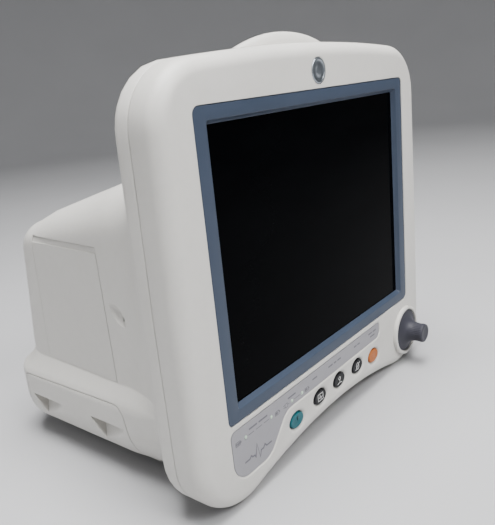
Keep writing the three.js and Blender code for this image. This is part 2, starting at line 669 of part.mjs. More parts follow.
function batteryDoor() {
  const skin = cut(boxOuter, boxInner).intersect(doorPrism(0));
  const pockets = SCOOPS.map(([y0, y1]) => scoop(y0, y1, 1.6));
  const linings = join(...pockets).intersect(boxOuter).intersect(doorPrism(-1));
  const axis = [DOOR.hingeX, 0, DOOR.hingeZ];
  const barrel = rod('y', DOOR.barrel, 72, DOOR.rear - 0.4, axis, 16);
  const door = cut(join(skin, linings, barrel), rod('y', DOOR.pin + 0.3, 60, 210, axis, 12));
  return cut(door, ...SCOOPS.map(([y0, y1]) => scoop(y0, y1, 0)));
}

function leftSidePieces() {
  piece('side_cover', sideCover(), MATERIALS.housing);
  piece('battery_door', batteryDoor(), MATERIALS.housing);
  const axis = [DOOR.hingeX, 0, DOOR.hingeZ];
  piece('battery_door_pin', rod('y', DOOR.pin, 66.4, DOOR.rear + 3.6, axis, 10), MATERIALS.steel);

  const { width, height, length, x, y, z } = BATTERY;
  const gap = 0.6;
  const pockets = [0, 1].map((i) => {
    const y0 = y + i * (width + 3);
    const cell = extruded(rectangle(y0 + gap, y0 + width - gap, z + gap, z + height - gap, 3, 2),
      'x', x + 8, x + length);
    const strap = block(x + 6.2, x + 8.5, y0 + 18, y0 + 34, z + 9, z + 13);
    piece(`battery_pack_${i + 1}`, join(cell, strap), MATERIALS.battery);
    return block(x - 5, x + length + 1, y0, y0 + width, z, z + height);
  });
  const tray = block(x + 7, x + length + 3, y - 2, y + 2 * width + 5, z - 2, z + height + 2);
  const slots = [0, 1].map((i) => {
    const middle = y + i * (width + 3) + width / 2;
    return block(x + length, x + length + 6, middle - 9, middle + 9, z + 6, z + 16);
  });
  piece('battery_tray', cut(tray, ...pockets, ...slots), MATERIALS.dark);
  const contacts = join(
    block(x + length + 3.4, x + length + 9, y + 6, y + 2 * width - 3, z + 3, z + 19),
    ...[0, 1].map((i) => {
      const middle = y + i * (width + 3) + width / 2;
      return block(x + length + 1.3, x + length + 4, middle - 8, middle + 8, z + 7, z + 15);
    }),
  );
  piece('battery_contacts', contacts, MATERIALS.dark);
}

// ---------------------------------------------------------------- right side: patient connectors

// Round receptacle along +X: flange, barrel, open socket and a contact block at its bottom
function receptacle(y, z, radius, proud, socket) {
  const face = SIDE_PANEL.floor + 3;
  const flange = rod('x', radius, face, face + 2.4, [0, y, z], 14);
  const barrel = rod('x', radius - 2, face - 12, face + proud, [0, y, z], 14);
  const hole = rod('x', socket, face - 5, face + proud + 2, [0, y, z], 14);
  return cut(join(flange, barrel), hole);
}

const PATIENT_PORTS = [
  ['ecg_connector', 152, -8, 12.5, 9, 8, 'green'],
  ['oxygen_sensor_connector', 116, -8, 10.5, 6, 6, 'blue'],
  ['temperature_connector', 116, -34, 9, 5, 4.6, 'brown'],
  ['pressure_connector_upper', 152, -36, 10.5, 7, 6, 'red'],
  ['pressure_connector_lower', 152, -61, 10.5, 7, 6, 'red'],
];

function rightSidePieces() {
  const plate = block(
    SIDE_PANEL.floor + GAP, SIDE_PANEL.floor + 2.7, SIDE_PANEL.y0 + GAP, SIDE_PANEL.y1 - GAP,
    SIDE_PANEL.z0 + GAP, SIDE_PANEL.z1 - GAP,
  );
  const holes = PATIENT_PORTS.map(([, y, z, radius]) => rod('x', radius - 1.6, 100, 130, [0, y, z]));
  const cuffHole = rod('x', 6, 100, 130, [0, 116, -61]);
  piece('connector_panel', cut(plate, ...holes, cuffHole), MATERIALS.grey);
  PATIENT_PORTS.forEach(([name, y, z, radius, proud, socket, finish]) => {
    piece(name, receptacle(y, z, radius, proud, socket), MATERIALS[finish]);
  });
  const hose = [
    [2.6, 100], [5.6, 100], [5.6, 113], [8.6, 113], [8.6, 115.4], [5.2, 115.4], [5.2, 119],
    [6.1, 119.8], [4.6, 124], [2.6, 124], [2.6, 100],
  ];
  piece('cuff_hose_fitting', turned(hose, 'x', [0, 116, -61], 24), MATERIALS.steel);
}

// ---------------------------------------------------------------- rear panel

// Rectangular socket along +Y with a flange outside the panel and contacts on the socket's floor
function portBox(x, z, width, height, depth, proud) {
  const face = REAR_PANEL.floor + 2.7;
  const back = face - depth;
  const outer = block(x - width / 2, x + width / 2, back, face + proud, z - height / 2, z + height / 2);
  const hole = block(
    x - width / 2 + 1.6, x + width / 2 - 1.6, back + 2, face + proud + 5,
    z - height / 2 + 1.6, z + height / 2 - 1.6,
  );
  return { outer, hole, floor: back + 2 };
}

function rearPanelPieces() {
  const face = REAR_PANEL.floor + 2.7;
  const plate = block(
    REAR_PANEL.x0 + GAP, REAR_PANEL.x1 - GAP, REAR_PANEL.floor + GAP, face - 0.3,
    REAR_PANEL.z0 + GAP, REAR_PANEL.z1 - GAP,
  );
  const inlet = portBox(-42, -46, 32, 26, 18, 1.6);
  const pins = [-7, 0, 7].map((dx, i) => {
    const z = i === 1 ? -42.5 : -48.5;
    return block(-42 + dx - 1, -42 + dx + 1, inlet.floor - 1, inlet.floor + 12, z - 2, z + 2);
  });
  const flange = block(-60, -24, face, face + 2, -61, -31);
  piece('power_inlet', join(cut(join(inlet.outer, flange), inlet.hole), ...pins), MATERIALS.dark);

  const sockets = [['network_port', 14], ['serial_port', 38]].map(([name, x]) => {
    const port = portBox(x, -34, 16.4, 15, 15, 0.8);
    const tongue = block(x - 4, x + 4, port.floor - 1, port.floor + 8, -40.4, -39);
    piece(name, join(cut(port.outer, port.hole), tongue), MATERIALS.steel);
    return port;
  });
  const sync = [[4.6, face + 2.4], [4.6, face - 8], [0, face - 8], [0, face - 10], [6.2, face - 10],
    [6.2, face], [8, face], [8, face + 2.4], [4.6, face + 2.4]];
  piece('sync_port', turned(sync, 'y', [14, 0, -60], 16), MATERIALS.dark);
  const post = [[0, face - 6], [2.4, face - 6], [2.4, face], [5, face], [5, face + 2],
    [3, face + 2.6], [3, face + 11], [0, face + 11]];
  piece('equipotential_post', turned(post, 'y', [-8, 0, -60], 12), MATERIALS.brass);

  const holes = [
    block(-58.6, -25.4, 180, 230, -59.6, -32.4),
    ...sockets.map((port, i) => block(14 + 24 * i - 8.6, 14 + 24 * i + 8.6, 180, 230, -41.9, -26.1)),
    rod('y', 6.6, 180, 230, [14, 0, -60]),
    rod('y', 2.8, 180, 230, [-8, 0, -60], 12),
  ];
  piece('rear_panel', cut(plate, ...holes), MATERIALS.grey);
}

// ---------------------------------------------------------------- inside the box

function insidePieces() {
  const deck = block(-96, 96, 92, 188, -104, -102.4);
  const flanges = [-96, 94.4].map((x) => block(x, x + 1.6, 92, 188, -104, -84));
  const upright = block(-96, 96, 92, 93.6, -104, -30);
  const legs = [50, 84].flatMap((x) => [96, 176].map((y) => block(x, x + 6, y, y + 6, -138.2, -103)));
  piece('chassis_frame', join(deck, ...flanges, upright, ...legs), MATERIALS.steel);

  const mainBoard = join(
    block(-90, 90, 98, 184, -94, -92.4),
    ...[[-84, 102], [80, 102], [-84, 176], [80, 176]].map(([x, y]) => (
      rod('z', 2.6, -102, -93, [x + 2, y + 2, 0], 10)
    )),
    block(-30, 0, 125, 155, -92.6, -86),
    block(20, 44, 120, 150, -92.6, -89),
    block(50, 80, 160, 176, -92.6, -84),
    block(-80, -50, 110, 122, -92.6, -84),
  );
  piece('main_board', mainBoard, MATERIALS.board);

  const supply = join(
    block(-100, -10, 100, 186, -66, -64.4),
    block(-92, -56, 112, 146, -64.8, -36),
    block(-46, -18, 108, 136, -64.8, -44),
    ...[[-84, 166], [-62, 166], [-40, 166], [-22, 158]].map(([x, y]) => (
      rod('z', 7, -64.8, -42, [x, y, 0], 14)
    )),
  );
  piece('power_supply', supply, MATERIALS.board);

  const pump = join(
    rod('y', 15, 110, 150, [30, 0, -50], 20),
    block(14, 46, 148, 176, -66, -34),
    rod('z', 3, -36, -28, [24, 162, 0], 12),
  );
  piece('cuff_pump', pump, MATERIALS.steel);
  const manifold = join(
    block(56, 84, 112, 168, -70, -54),
    rod('z', 6, -55, -36, [64, 124, 0], 14),
    rod('z', 6, -55, -36, [64, 144, 0], 14),
  );
  piece('valve_manifold', manifold, MATERIALS.dark);

  const acquisition = join(
    block(70, 94, 104, 166, -26, 10),
    ...[0, 1, 2, 3].map((i) => block(64, 70.5, 112 + 14 * i, 116 + 14 * i, -22, 6)),
  );
  piece('acquisition_module', acquisition, MATERIALS.steel);

  const cone = [
    [0, 4], [6, 4], [24, 18], [24, 21], [28, 21], [28, 16.5], [25, 16.5], [11, 3],
    [16, 3], [16, -9], [0, -9],
  ].map(([radius, height]) => [radius, -height]);
  piece('speaker', turned(cone, 'y', [-60, 78, -10], 16), MATERIALS.dark);
}

// ---------------------------------------------------------------- fasteners and feet

function screwBody(x, z, seat) {
  const head = rod('y', 3.4, seat + GAP, seat + 2.6, [x, 0, z], 12);
  const shank = rod('y', 1.4, seat - 10, seat + 1, [x, 0, z], 8);
  const cross = [
    block(x - 2.2, x + 2.2, seat + 1.4, seat + 5, z - 0.5, z + 0.5),
    block(x - 0.5, x + 0.5, seat + 1.4, seat + 5, z - 2.2, z + 2.2),
  ];
  return cut(join(head, shank), ...cross);
}

function fasteners() {
  HEAD_SCREWS.forEach(([x, z], i) => {
    piece(`head_screw_${i + 1}`, screwBody(x, z, 31.8), MATERIALS.steel);
  });
  REAR_SCREWS.forEach(([x, z], i) => {
    piece(`case_screw_${i + 1}`, screwBody(x, z, rearDepth(x, z) - 7), MATERIALS.steel);
  });
  FEET.forEach(([x, y], i) => {
    const floor = -DISPLAY_HEIGHT;
    const foot = [
      [0, floor], [7.2, floor], [8, floor + 0.8], [8, BOX.bottom - GAP], [2.4, BOX.bottom - GAP],
      [2.4, BOX.bottom + WALL], [0, BOX.bottom + WALL],
    ];
    piece(`foot_${i + 1}`, turned(foot, 'z', [x, y, 0], 12), MATERIALS.rubber);
  });
}

// ---------------------------------------------------------------- assembly

piece('front_housing', frontHousing(), MATERIALS.housing);
piece('rear_housing', rearHousing(), MATERIALS.housing);
piece('carry_handle', carryHandle(), MATERIALS.housing);
displayPieces();
controlPieces();
leftSidePieces();
rightSidePieces();
rearPanelPieces();
insidePieces();
fasteners();

const monitor = new THREE.Group();
monitor.add(unit);

export default monitor;
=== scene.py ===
import json
import math

import bmesh
import bpy
import numpy as np
from mathutils import Matrix, Vector


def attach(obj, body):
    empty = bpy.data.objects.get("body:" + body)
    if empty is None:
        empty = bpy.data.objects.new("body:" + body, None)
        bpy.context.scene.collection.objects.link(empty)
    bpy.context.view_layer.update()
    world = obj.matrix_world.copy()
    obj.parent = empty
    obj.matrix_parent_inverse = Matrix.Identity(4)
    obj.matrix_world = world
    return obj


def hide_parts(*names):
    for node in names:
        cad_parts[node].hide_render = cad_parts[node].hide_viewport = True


# Bedside patient monitor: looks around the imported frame. Shapes are drawn in millimetres from the
# centre of the display's face plane (x right, y back, z up) and placed in the row frame in metres.

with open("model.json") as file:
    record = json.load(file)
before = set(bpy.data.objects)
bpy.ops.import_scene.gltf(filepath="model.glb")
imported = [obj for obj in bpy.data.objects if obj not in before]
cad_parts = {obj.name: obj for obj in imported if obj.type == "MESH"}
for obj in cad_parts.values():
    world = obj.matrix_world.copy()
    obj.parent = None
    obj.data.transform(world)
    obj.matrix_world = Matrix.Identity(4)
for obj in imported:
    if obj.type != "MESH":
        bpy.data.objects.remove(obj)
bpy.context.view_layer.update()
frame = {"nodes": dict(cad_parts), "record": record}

MM = 0.001
FACE_OFFSET = np.array([0.0, -103.0, 147.5])

WALL = 3.0
GAP = 0.3

# ---------------------------------------------------------------- outlines


def rounded(corners, steps=8, fill=4):
    """Closed outline with an arc at each corner (x, y, radius) and evenly divided straights."""
    count = len(corners)
    arcs = []
    for i, (x, y, radius) in enumerate(corners):
        corner = np.array([x, y], float)
        before = np.array(corners[i - 1][:2], float) - corner
        after = np.array(corners[(i + 1) % count][:2], float) - corner
        before /= np.linalg.norm(before)
        after /= np.linalg.norm(after)
        half = math.acos(np.clip(before @ after, -1, 1)) / 2
        bisector = (before + after) / np.linalg.norm(before + after)
        centre = corner + bisector * radius / math.sin(half)
        start = corner + before * radius / math.tan(half) - centre
        turn = (math.pi - 2 * half) * np.sign(after[0] * before[1] - after[1] * before[0])
        angles = turn * np.arange(steps + 1) / steps
        cos, sin = np.cos(angles), np.sin(angles)
        arc = np.stack([start[0] * cos - start[1] * sin, start[0] * sin + start[1] * cos], 1)
        arcs.append(arc + centre)
    points = []
    for i, arc in enumerate(arcs):
        points.extend(arc)
        goal = arcs[(i + 1) % count][0]
        parts = fill[i] if isinstance(fill, (list, tuple)) else fill
        for k in range(1, parts):
            points.append(arc[-1] + (goal - arc[-1]) * k / parts)
    return np.array(points)


def rectangle(x0, x1, y0, y1, radius, steps=6, fill=1):
    corners = [(x0, y0, radius), (x1, y0, radius), (x1, y1, radius), (x0, y1, radius)]
    return rounded(corners, steps, fill)


def centred(half_width, half_height, radius, steps=6, fill=1):
    return rectangle(-half_width, half_width, -half_height, half_height, radius, steps, fill)


def ellipse(x, z, half_width, half_height, steps=64):
    angle = 2 * math.pi * np.arange(steps) / steps
    return np.stack([x + half_width * np.cos(angle), z + half_height * np.sin(angle)], 1)


def inset(points, distance):
    """The outline moved inwards by a distance."""
    before = points - np.roll(points, 1, 0)
    after = np.roll(points, -1, 0) - points
    before /= np.linalg.norm(before, axis=1)[:, None]
    after /= np.linalg.norm(after, axis=1)[:, None]
    inward = np.stack([-before[:, 1] - after[:, 1], before[:, 0] + after[:, 0]], 1)
    inward /= np.linalg.norm(inward, axis=1)[:, None]
    side = np.stack([-before[:, 1], before[:, 0]], 1)
    stretch = np.maximum(0.5, (inward * side).sum(1))
    return points + inward * (distance / stretch)[:, None]


def ring(points, y):
    """An x-z outline stood at depth y."""
    depth = np.broadcast_to(np.asarray(y, float), (len(points),))
    return np.stack([points[:, 0], depth, points[:, 1]], 1)


def blend_rows(table, count):
    """Rows of a table smoothed into count rows with a Catmull-Rom curve."""
    rows = np.array(table, float)
    ends = np.vstack([2 * rows[0] - rows[1], rows, 2 * rows[-1] - rows[-2]])
    spans = len(rows) - 1
    out = []
    for t in np.linspace(0, spans, count):
        i = min(int(t), spans - 1)
        f = t - i
        a, b, c, d = ends[i:i + 4]
        out.append(0.5 * (2 * b + (c - a) * f + (2 * a - 5 * b + 4 * c - d) * f * f
                          + (3 * b - a - 3 * c + d) * f ** 3))
    return np.array(out)


# ---------------------------------------------------------------- meshes


def new_object(name, vertices, faces):
    mesh = bpy.data.meshes.new(name)
    placed = (np.asarray(vertices, float) + FACE_OFFSET) * MM
    mesh.from_pydata([tuple(v) for v in placed], [], [tuple(f) for f in faces])
    mesh.validate()
    obj = bpy.data.objects.new(name, mesh)
    bpy.context.scene.collection.objects.link(obj)
    return obj


def tidy_normals(obj):
    bm = bmesh.new()
    bm.from_mesh(obj.data)
    bmesh.ops.remove_doubles(bm, verts=bm.verts, dist=1e-7)
    bmesh.ops.recalc_face_normals(bm, faces=bm.faces)
    bm.to_mesh(obj.data)
    bm.free()
    return obj


def skin(name, rings, closed=False):
    """A closed skin through rings of points; closed joins the last ring to the first instead of capping."""
    count = len(rings[0])
    total = len(rings)
    faces = []
    for r in range(total if closed else total - 1):
        row, following = r * count, ((r + 1) % total) * count
        for i in range(count):
            j = (i + 1) % count
            faces.append((row + i, row + j, following + j, following + i))
    if not closed:
        faces.append(tuple(range(count - 1, -1, -1)))
        faces.append(tuple(range((total - 1) * count, total * count)))
    return tidy_normals(new_object(name, np.vstack(rings), faces))


def smooth(obj, angle=32):
    mesh = obj.data
    mesh.polygons.foreach_set("use_smooth", [True] * len(mesh.polygons))
    mesh.set_sharp_from_angle(angle=math.radians(angle))
    return obj


def baked(obj):
    """The object's modifiers made part of its mesh."""
    depsgraph = bpy.context.evaluated_depsgraph_get()
    mesh = bpy.data.meshes.new_from_object(obj.evaluated_get(depsgraph))
    obj.modifiers.clear()
    obj.data = mesh
    return obj


def combine(obj, *others, operation="DIFFERENCE"):
    """Cuts, joins or intersects obj with each of the others, which are used up."""
    for other in others:
        modifier = obj.modifiers.new("combine", "BOOLEAN")
        modifier.operation = operation
        modifier.solver = "EXACT"
        modifier.object = other
        baked(obj)
        bpy.data.objects.remove(other)
    return obj


def merged(*objects):
    """Separate closed meshes put in one object."""
    bm = bmesh.new()
    for obj in objects:
        bm.from_mesh(obj.data)
    first = objects[0]
    bm.to_mesh(first.data)
    bm.free()
    for obj in objects[1:]:
        bpy.data.objects.remove(obj)
    return first


def bevelled(obj, width, segments=2, angle=35):
    modifier = obj.modifiers.new("bevel", "BEVEL")
    modifier.width = width * MM
    modifier.segments = segments
    modifier.limit_method = "ANGLE"
    modifier.angle_limit = math.radians(angle)
    modifier.harden_normals = False
    return baked(obj)


def block(x0, x1, y0, y1, z0, z1):
    corners = [(x, y, z) for x in (x0, x1) for y in (y0, y1) for z in (z0, z1)]
    faces = [(0, 1, 3, 2), (4, 6, 7, 5), (0, 4, 5, 1), (2, 3, 7, 6), (0, 2, 6, 4), (1, 5, 7, 3)]
    return tidy_normals(new_object("block", corners, faces))


def prism(outline, axis, low, high):
    """A flat outline extruded along x or y between two coordinates."""
    outline = np.asarray(outline, float)
    rings = []
    for level in (low, high):
        level_column = np.full(len(outline), level)
        if axis == "y":
            rings.append(np.stack([outline[:, 0], level_column, outline[:, 1]], 1))
        elif axis == "x":
            rings.append(np.stack([level_column, outline[:, 0], outline[:, 1]], 1))
        else:
            rings.append(np.stack([outline[:, 0], outline[:, 1], level_column], 1))
    return skin("prism", rings)


def turned(name, profile, axis, centre, segments=64):
    """A closed profile of (radius, height) points turned about an axis through a centre."""
    profile = np.asarray(profile, float)
    angle = 2 * math.pi * np.arange(segments) / segments
    cos, sin = np.cos(angle), np.sin(angle)
    x, y, z = centre
    rings = []
    for radius, height in profile:
        radius = max(radius, 1e-4)
        along = np.full(segments, height)
        if axis == "y":
            rings.append(np.stack([x + radius * cos, y + along, z + radius * sin], 1))
        elif axis == "x":
            rings.append(np.stack([x + along, y + radius * cos, z + radius * sin], 1))
        else:
            rings.append(np.stack([x + radius * cos, y + radius * sin, z + along], 1))
    open_profile = not np.allclose(profile[0], profile[-1])
    return skin(name, rings, closed=bool(open_profile and profile[0][0] > 0.01))


def rod(axis, radius, low, high, centre, segments=48):
    return turned("rod", [(0, low), (radius, low), (radius, high), (0, high)], axis, centre, segments)


# ---------------------------------------------------------------- material nodes


class Nodes:
    """A small helper that builds one material's node tree."""

    def __init__(self, name):
        self.material = bpy.data.materials.new(name)
        self.material.use_nodes = True
        self.tree = self.material.node_tree
        self.shader = self.tree.nodes["Principled BSDF"]
        self.coords = self.tree.nodes.new("ShaderNodeTexCoord").outputs["Object"]

    def add(self, kind, **settings):
        node = self.tree.nodes.new(kind)
        for key, value in settings.items():
            if hasattr(node, key):
                setattr(node, key, value)
            else:
                node.inputs[key.replace("_", " ")].default_value = value
        return node

    def link(self, source, target):
        self.tree.links.new(source, target)

    def noise(self, scale, detail=3, roughness=0.55, stretch=None):
        node = self.add("ShaderNodeTexNoise")
        node.inputs["Scale"].default_value = scale
        node.inputs["Detail"].default_value = detail
        node.inputs["Roughness"].default_value = roughness
        source = self.coords
        if stretch:
            mapping = self.add("ShaderNodeMapping")
            mapping.inputs["Scale"].default_value = stretch
            self.link(self.coords, mapping.inputs["Vector"])
            source = mapping.outputs["Vector"]
        self.link(source, node.inputs["Vector"])
        return node.outputs["Fac"]

    def ramp(self, source, stops):
        node = self.add("ShaderNodeValToRGB")
        elements = node.color_ramp.elements
        while len(elements) < len(stops):
            elements.new(0.5)
        for element, (position, colour) in zip(elements, stops):
            element.position = position
            element.color = (*colour, 1.0)
        self.link(source, node.inputs["Fac"])
        return node.outputs["Color"]

    def levels(self, source, low, high, to_low, to_high):
        node = self.add("ShaderNodeMapRange")
        for key, value in zip(("From Min", "From Max", "To Min", "To Max"), (low, high, to_low, to_high)):
            node.inputs[key].default_value = value
        self.link(source, node.inputs["Value"])
        return node.outputs["Result"]

    def bump(self, height, strength, distance, normal=None):
        node = self.add("ShaderNodeBump")
        node.inputs["Strength"].default_value = strength
        node.inputs["Distance"].default_value = distance
        self.link(height, node.inputs["Height"])
        if normal is not None:
            self.link(normal, node.inputs["Normal"])
        return node.outputs["Normal"]

    def mix(self, factor, first, second, mode="MIX"):
        node = self.add("ShaderNodeMix", data_type="RGBA", blend_type=mode)
        if isinstance(factor, float):
            node.inputs[0].default_value = factor
        else:
            self.link(factor, node.inputs[0])
        for socket, value in ((node.inputs[6], first), (node.inputs[7], second)):
            if isinstance(value, tuple):
                socket.default_value = (*value, 1.0)
            else:
                self.link(value, socket)
        return node.outputs[2]

    def add_values(self, first, second, weight=1.0):
        node = self.add("ShaderNodeMath", operation="MULTIPLY_ADD")
        self.link(second, node.inputs[0])
        node.inputs[1].default_value = weight
        self.link(first, node.inputs[2])
        return node.outputs[0]


def shade(colour, factor):
    return tuple(min(1.0, c * factor) for c in colour)


def plastic(name, colour, roughness=0.42, spread=0.05, grain=2600.0, relief=0.00003, round_edges=0.0,
            specular=0.45, dirt=0.12):
    """Moulded plastic: fine spark-eroded grain, faint mottling and a little grime where it settles."""
    n = Nodes(name)
    broad = n.noise(14.0, 4)
    fine = n.noise(grain, 2, 0.6)
    medium = n.noise(220.0, 3)
    base = n.ramp(broad, [(0.25, shade(colour, 1 - spread)), (0.75, shade(colour, 1 + spread * 0.6))])
    specks = n.ramp(medium, [(0.3, (1 - dirt * 0.5,) * 3), (0.62, (1.0, 1.0, 1.0))])
    tinted = n.mix(0.35, base, n.mix(1.0, base, specks, "MULTIPLY"))
    n.link(tinted, n.shader.inputs["Base Color"])
    rough = n.add_values(n.levels(broad, 0.3, 0.7, roughness - 0.05, roughness + 0.06), fine, 0.06)
    n.link(rough, n.shader.inputs["Roughness"])
    normal = None
    if round_edges:
        bevel = n.add("ShaderNodeBevel", samples=6)
        bevel.inputs["Radius"].default_value = round_edges
        normal = bevel.outputs["Normal"]
    n.link(n.bump(n.add_values(fine, medium, 0.5), 0.35, relief, normal), n.shader.inputs["Normal"])
    n.shader.inputs["Specular IOR Level"].default_value = specular
    return n.material


def metal(name, colour, roughness=0.3, stretch=(1.0, 40.0, 1.0)):
    n = Nodes(name)
    brushed = n.noise(180.0, 4, 0.6, stretch)
    stains = n.noise(30.0, 3)
    base = n.ramp(stains, [(0.3, shade(colour, 0.85)), (0.7, shade(colour, 1.05))])
    n.link(base, n.shader.inputs["Base Color"])
    n.link(n.levels(brushed, 0.2, 0.8, roughness - 0.08, roughness + 0.12), n.shader.inputs["Roughness"])
    n.link(n.bump(brushed, 0.2, 0.00002), n.shader.inputs["Normal"])
    n.shader.inputs["Metallic"].default_value = 1.0
    return n.material


def rubber(name, colour):
    n = Nodes(name)
    grit = n.noise(1500.0, 3, 0.7)
    broad = n.noise(40.0, 3)
    tint = n.ramp(broad, [(0.3, shade(colour, 0.8)), (0.7, shade(colour, 1.3))])
    n.link(tint, n.shader.inputs["Base Color"])
    n.link(n.levels(grit, 0.2, 0.8, 0.7, 0.92), n.shader.inputs["Roughness"])
    n.link(n.bump(grit, 0.5, 0.00006), n.shader.inputs["Normal"])
    return n.material


def window_glass():
    """Dark display window: a glossy coat over a near-black panel with a faint smear of wiping."""
    n = Nodes("display_glass")
    wiped = n.noise(9.0, 4, 0.6, (1.0, 1.0, 3.5))
    n.link(n.ramp(wiped, [(0.3, (0.0006, 0.0007, 0.001)), (0.75, (0.0014, 0.0016, 0.002))]),
           n.shader.inputs["Base Color"])
    n.link(n.levels(wiped, 0.3, 0.75, 0.07, 0.16), n.shader.inputs["Roughness"])
    n.link(n.bump(n.noise(3.0, 2), 0.05, 0.0005), n.shader.inputs["Normal"])
    n.shader.inputs["Specular IOR Level"].default_value = 0.04
    n.shader.inputs["IOR"].default_value = 1.25
    return n.material


def circuit_board():
    n = Nodes("circuit_board")
    cells = n.add("ShaderNodeTexVoronoi", feature="DISTANCE_TO_EDGE")
    cells.inputs["Scale"].default_value = 240.0
    n.link(n.coords, cells.inputs["Vector"])
    tracks = n.ramp(cells.outputs["Distance"], [(0.04, (0.10, 0.30, 0.16)), (0.09, (0.02, 0.13, 0.07))])
    n.link(tracks, n.shader.inputs["Base Color"])
    n.link(n.levels(n.noise(90.0), 0.3, 0.7, 0.35, 0.55), n.shader.inputs["Roughness"])
    n.link(n.bump(cells.outputs["Distance"], 0.3, 0.00005), n.shader.inputs["Normal"])
    return n.material


def lamp_lens():
    n = Nodes("lamp_lens")
    cloud = n.noise(500.0, 2)
    tint = n.ramp(cloud, [(0.3, (0.42, 0.55, 0.44)), (0.7, (0.60, 0.70, 0.60))])
    n.link(tint, n.shader.inputs["Base Color"])
    n.link(n.levels(cloud, 0.2, 0.8, 0.15, 0.3), n.shader.inputs["Roughness"])
    n.shader.inputs["Subsurface Weight"].default_value = 0.3
    n.shader.inputs["Subsurface Radius"].default_value = (0.001, 0.001, 0.001)
    return n.material


HOUSING = (0.64, 0.625, 0.59)
MATERIALS = {
    "housing": plastic("housing_plastic", HOUSING, 0.4, 0.035, round_edges=0.0006),
    "trim": plastic("trim_plastic", (0.040, 0.055, 0.086), 0.4, 0.08, 2200.0, specular=0.3, dirt=0.2),
    "glass": window_glass(),
    "label": plastic("label_overlay", (0.31, 0.305, 0.325), 0.5, 0.04, 3600.0, 0.00001, specular=0.3),
    "mark": plastic("label_ink", (0.13, 0.125, 0.15), 0.5, 0.1, 3600.0, 0.00001),
    "white_mark": plastic("white_ink", (0.62, 0.62, 0.62), 0.5, 0.1, 3600.0, 0.00001),
    "teal_mark": plastic("teal_ink", (0.004, 0.10, 0.12), 0.45, 0.1, 3600.0, 0.00001),
    "orange_mark": plastic("orange_ink", (0.42, 0.13, 0.035), 0.45, 0.1, 3600.0, 0.00001),
    "badge": metal("badge_metal", (0.40, 0.44, 0.48), 0.32, (1.0, 1.0, 30.0)),
    "key_teal": plastic("teal_key", (0.0015, 0.105, 0.13), 0.38, 0.12, 1800.0, specular=0.3),
    "key_black": plastic("black_key", (0.006, 0.006, 0.008), 0.4, 0.25, 1800.0, specular=0.2),
    "key_orange": plastic("orange_key", (0.42, 0.12, 0.022), 0.38, 0.10, 1800.0, specular=0.3),
    "lens": lamp_lens(),
    "knob": plastic("knob_plastic", (0.036, 0.036, 0.048), 0.45, 0.15, 1600.0, 0.00005, specular=0.3),
    "steel": metal("steel", (0.56, 0.57, 0.58), 0.33),
    "module": plastic("module_case", (0.34, 0.35, 0.36), 0.5),
    "board": circuit_board(),
    "dark": plastic("dark_plastic", (0.022, 0.022, 0.025), 0.48, 0.2, 1600.0),
    "rubber": rubber("foot_rubber", (0.012, 0.012, 0.013)),
    "battery": plastic("battery_case", (0.035, 0.037, 0.043), 0.5, 0.15, 1500.0),
    "brass": metal("brass", (0.60, 0.42, 0.16), 0.28),
    "green": plastic("green_socket", (0.02, 0.19, 0.09), 0.38, 0.1, 1800.0),
    "blue": plastic("blue_socket", (0.02, 0.085, 0.28), 0.38, 0.1, 1800.0),
    "brown": plastic("brown_socket", (0.11, 0.05, 0.026), 0.42, 0.1, 1800.0),
    "red": plastic("red_socket", (0.32, 0.025, 0.02), 0.38, 0.1, 1800.0),
    "panel": plastic("panel_plastic", (0.27, 0.275, 0.28), 0.5, 0.06, 2400.0),
    "gold": metal("contact_gold", (0.72, 0.50, 0.20), 0.25),
}

NODE_SLOT = {part["node"]: part["material_slot"] for part in frame["record"]["subparts"]}


def show(obj, name, material, body, nodes=(), angle=32):
    """Names a finished piece, gives it its material and sets it riding on its body."""
    obj.name = name
    obj.data.name = name
    smooth(obj, angle)
    obj.data.materials.clear()
    obj.data.materials.append(MATERIALS[material])
    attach(obj, body)
    if nodes:
        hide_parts(*nodes)
    return obj


# ---------------------------------------------------------------- head: outline and shells

HALF_WIDTH, SHOULDER, TOP, TOP_END, CORNER_X = 146.0, 143.5, 119.0, 115.0, 107.0
LOW, LOW_ROUND, ARCH_SLOPE = -147.0, 40.0, 0.239
FRONT_ROUND, BACK_ROUND = 9.0, 7.0
SEAM_Y, HEAD_BACK_Y = 20.0, 34.0


def head_outline():
    crown_slope = 2 * (TOP - TOP_END) / CORNER_X
    edge_top = TOP_END - crown_slope * (SHOULDER - CORNER_X)
    angle = math.atan(ARCH_SLOPE)
    start = HALF_WIDTH - LOW_ROUND * (1 + math.sin(angle))
    lift = LOW_ROUND * (1 - math.cos(angle))
    corner_z = LOW + lift - ARCH_SLOPE * (HALF_WIDTH - start)
    peak = corner_z + ARCH_SLOPE * HALF_WIDTH
    arch_round = 0.96 * start / math.sin(angle)
    right = [(HALF_WIDTH, corner_z, LOW_ROUND), (HALF_WIDTH, -20, 400), (SHOULDER, edge_top, 36.5)]
    left = [(-x, z, radius) for x, z, radius in reversed(right)]
    crown = (0, TOP_END + crown_slope * CORNER_X, 1400)
    return rounded([(0, peak, arch_round), *right, crown, *left], 20, [2, 16, 10, 6, 6, 10, 16, 2, 1])


HEAD = head_outline()


def round_in(outline, y, radius, wall=0.0, steps=10):
    """Rings that follow a quarter round from depth y up to the outline's full size."""
    rings = []
    for k in range(steps + 1):
        angle = math.pi / 2 * k / steps
        depth = y + (radius - wall) * (1 - math.cos(angle))
        rings.append(ring(inset(outline, wall + (radius - wall) * (1 - math.sin(angle))), depth))
    return rings


def key_z(x):
    return -115.9 - 0.00118 * (x - 4) ** 2


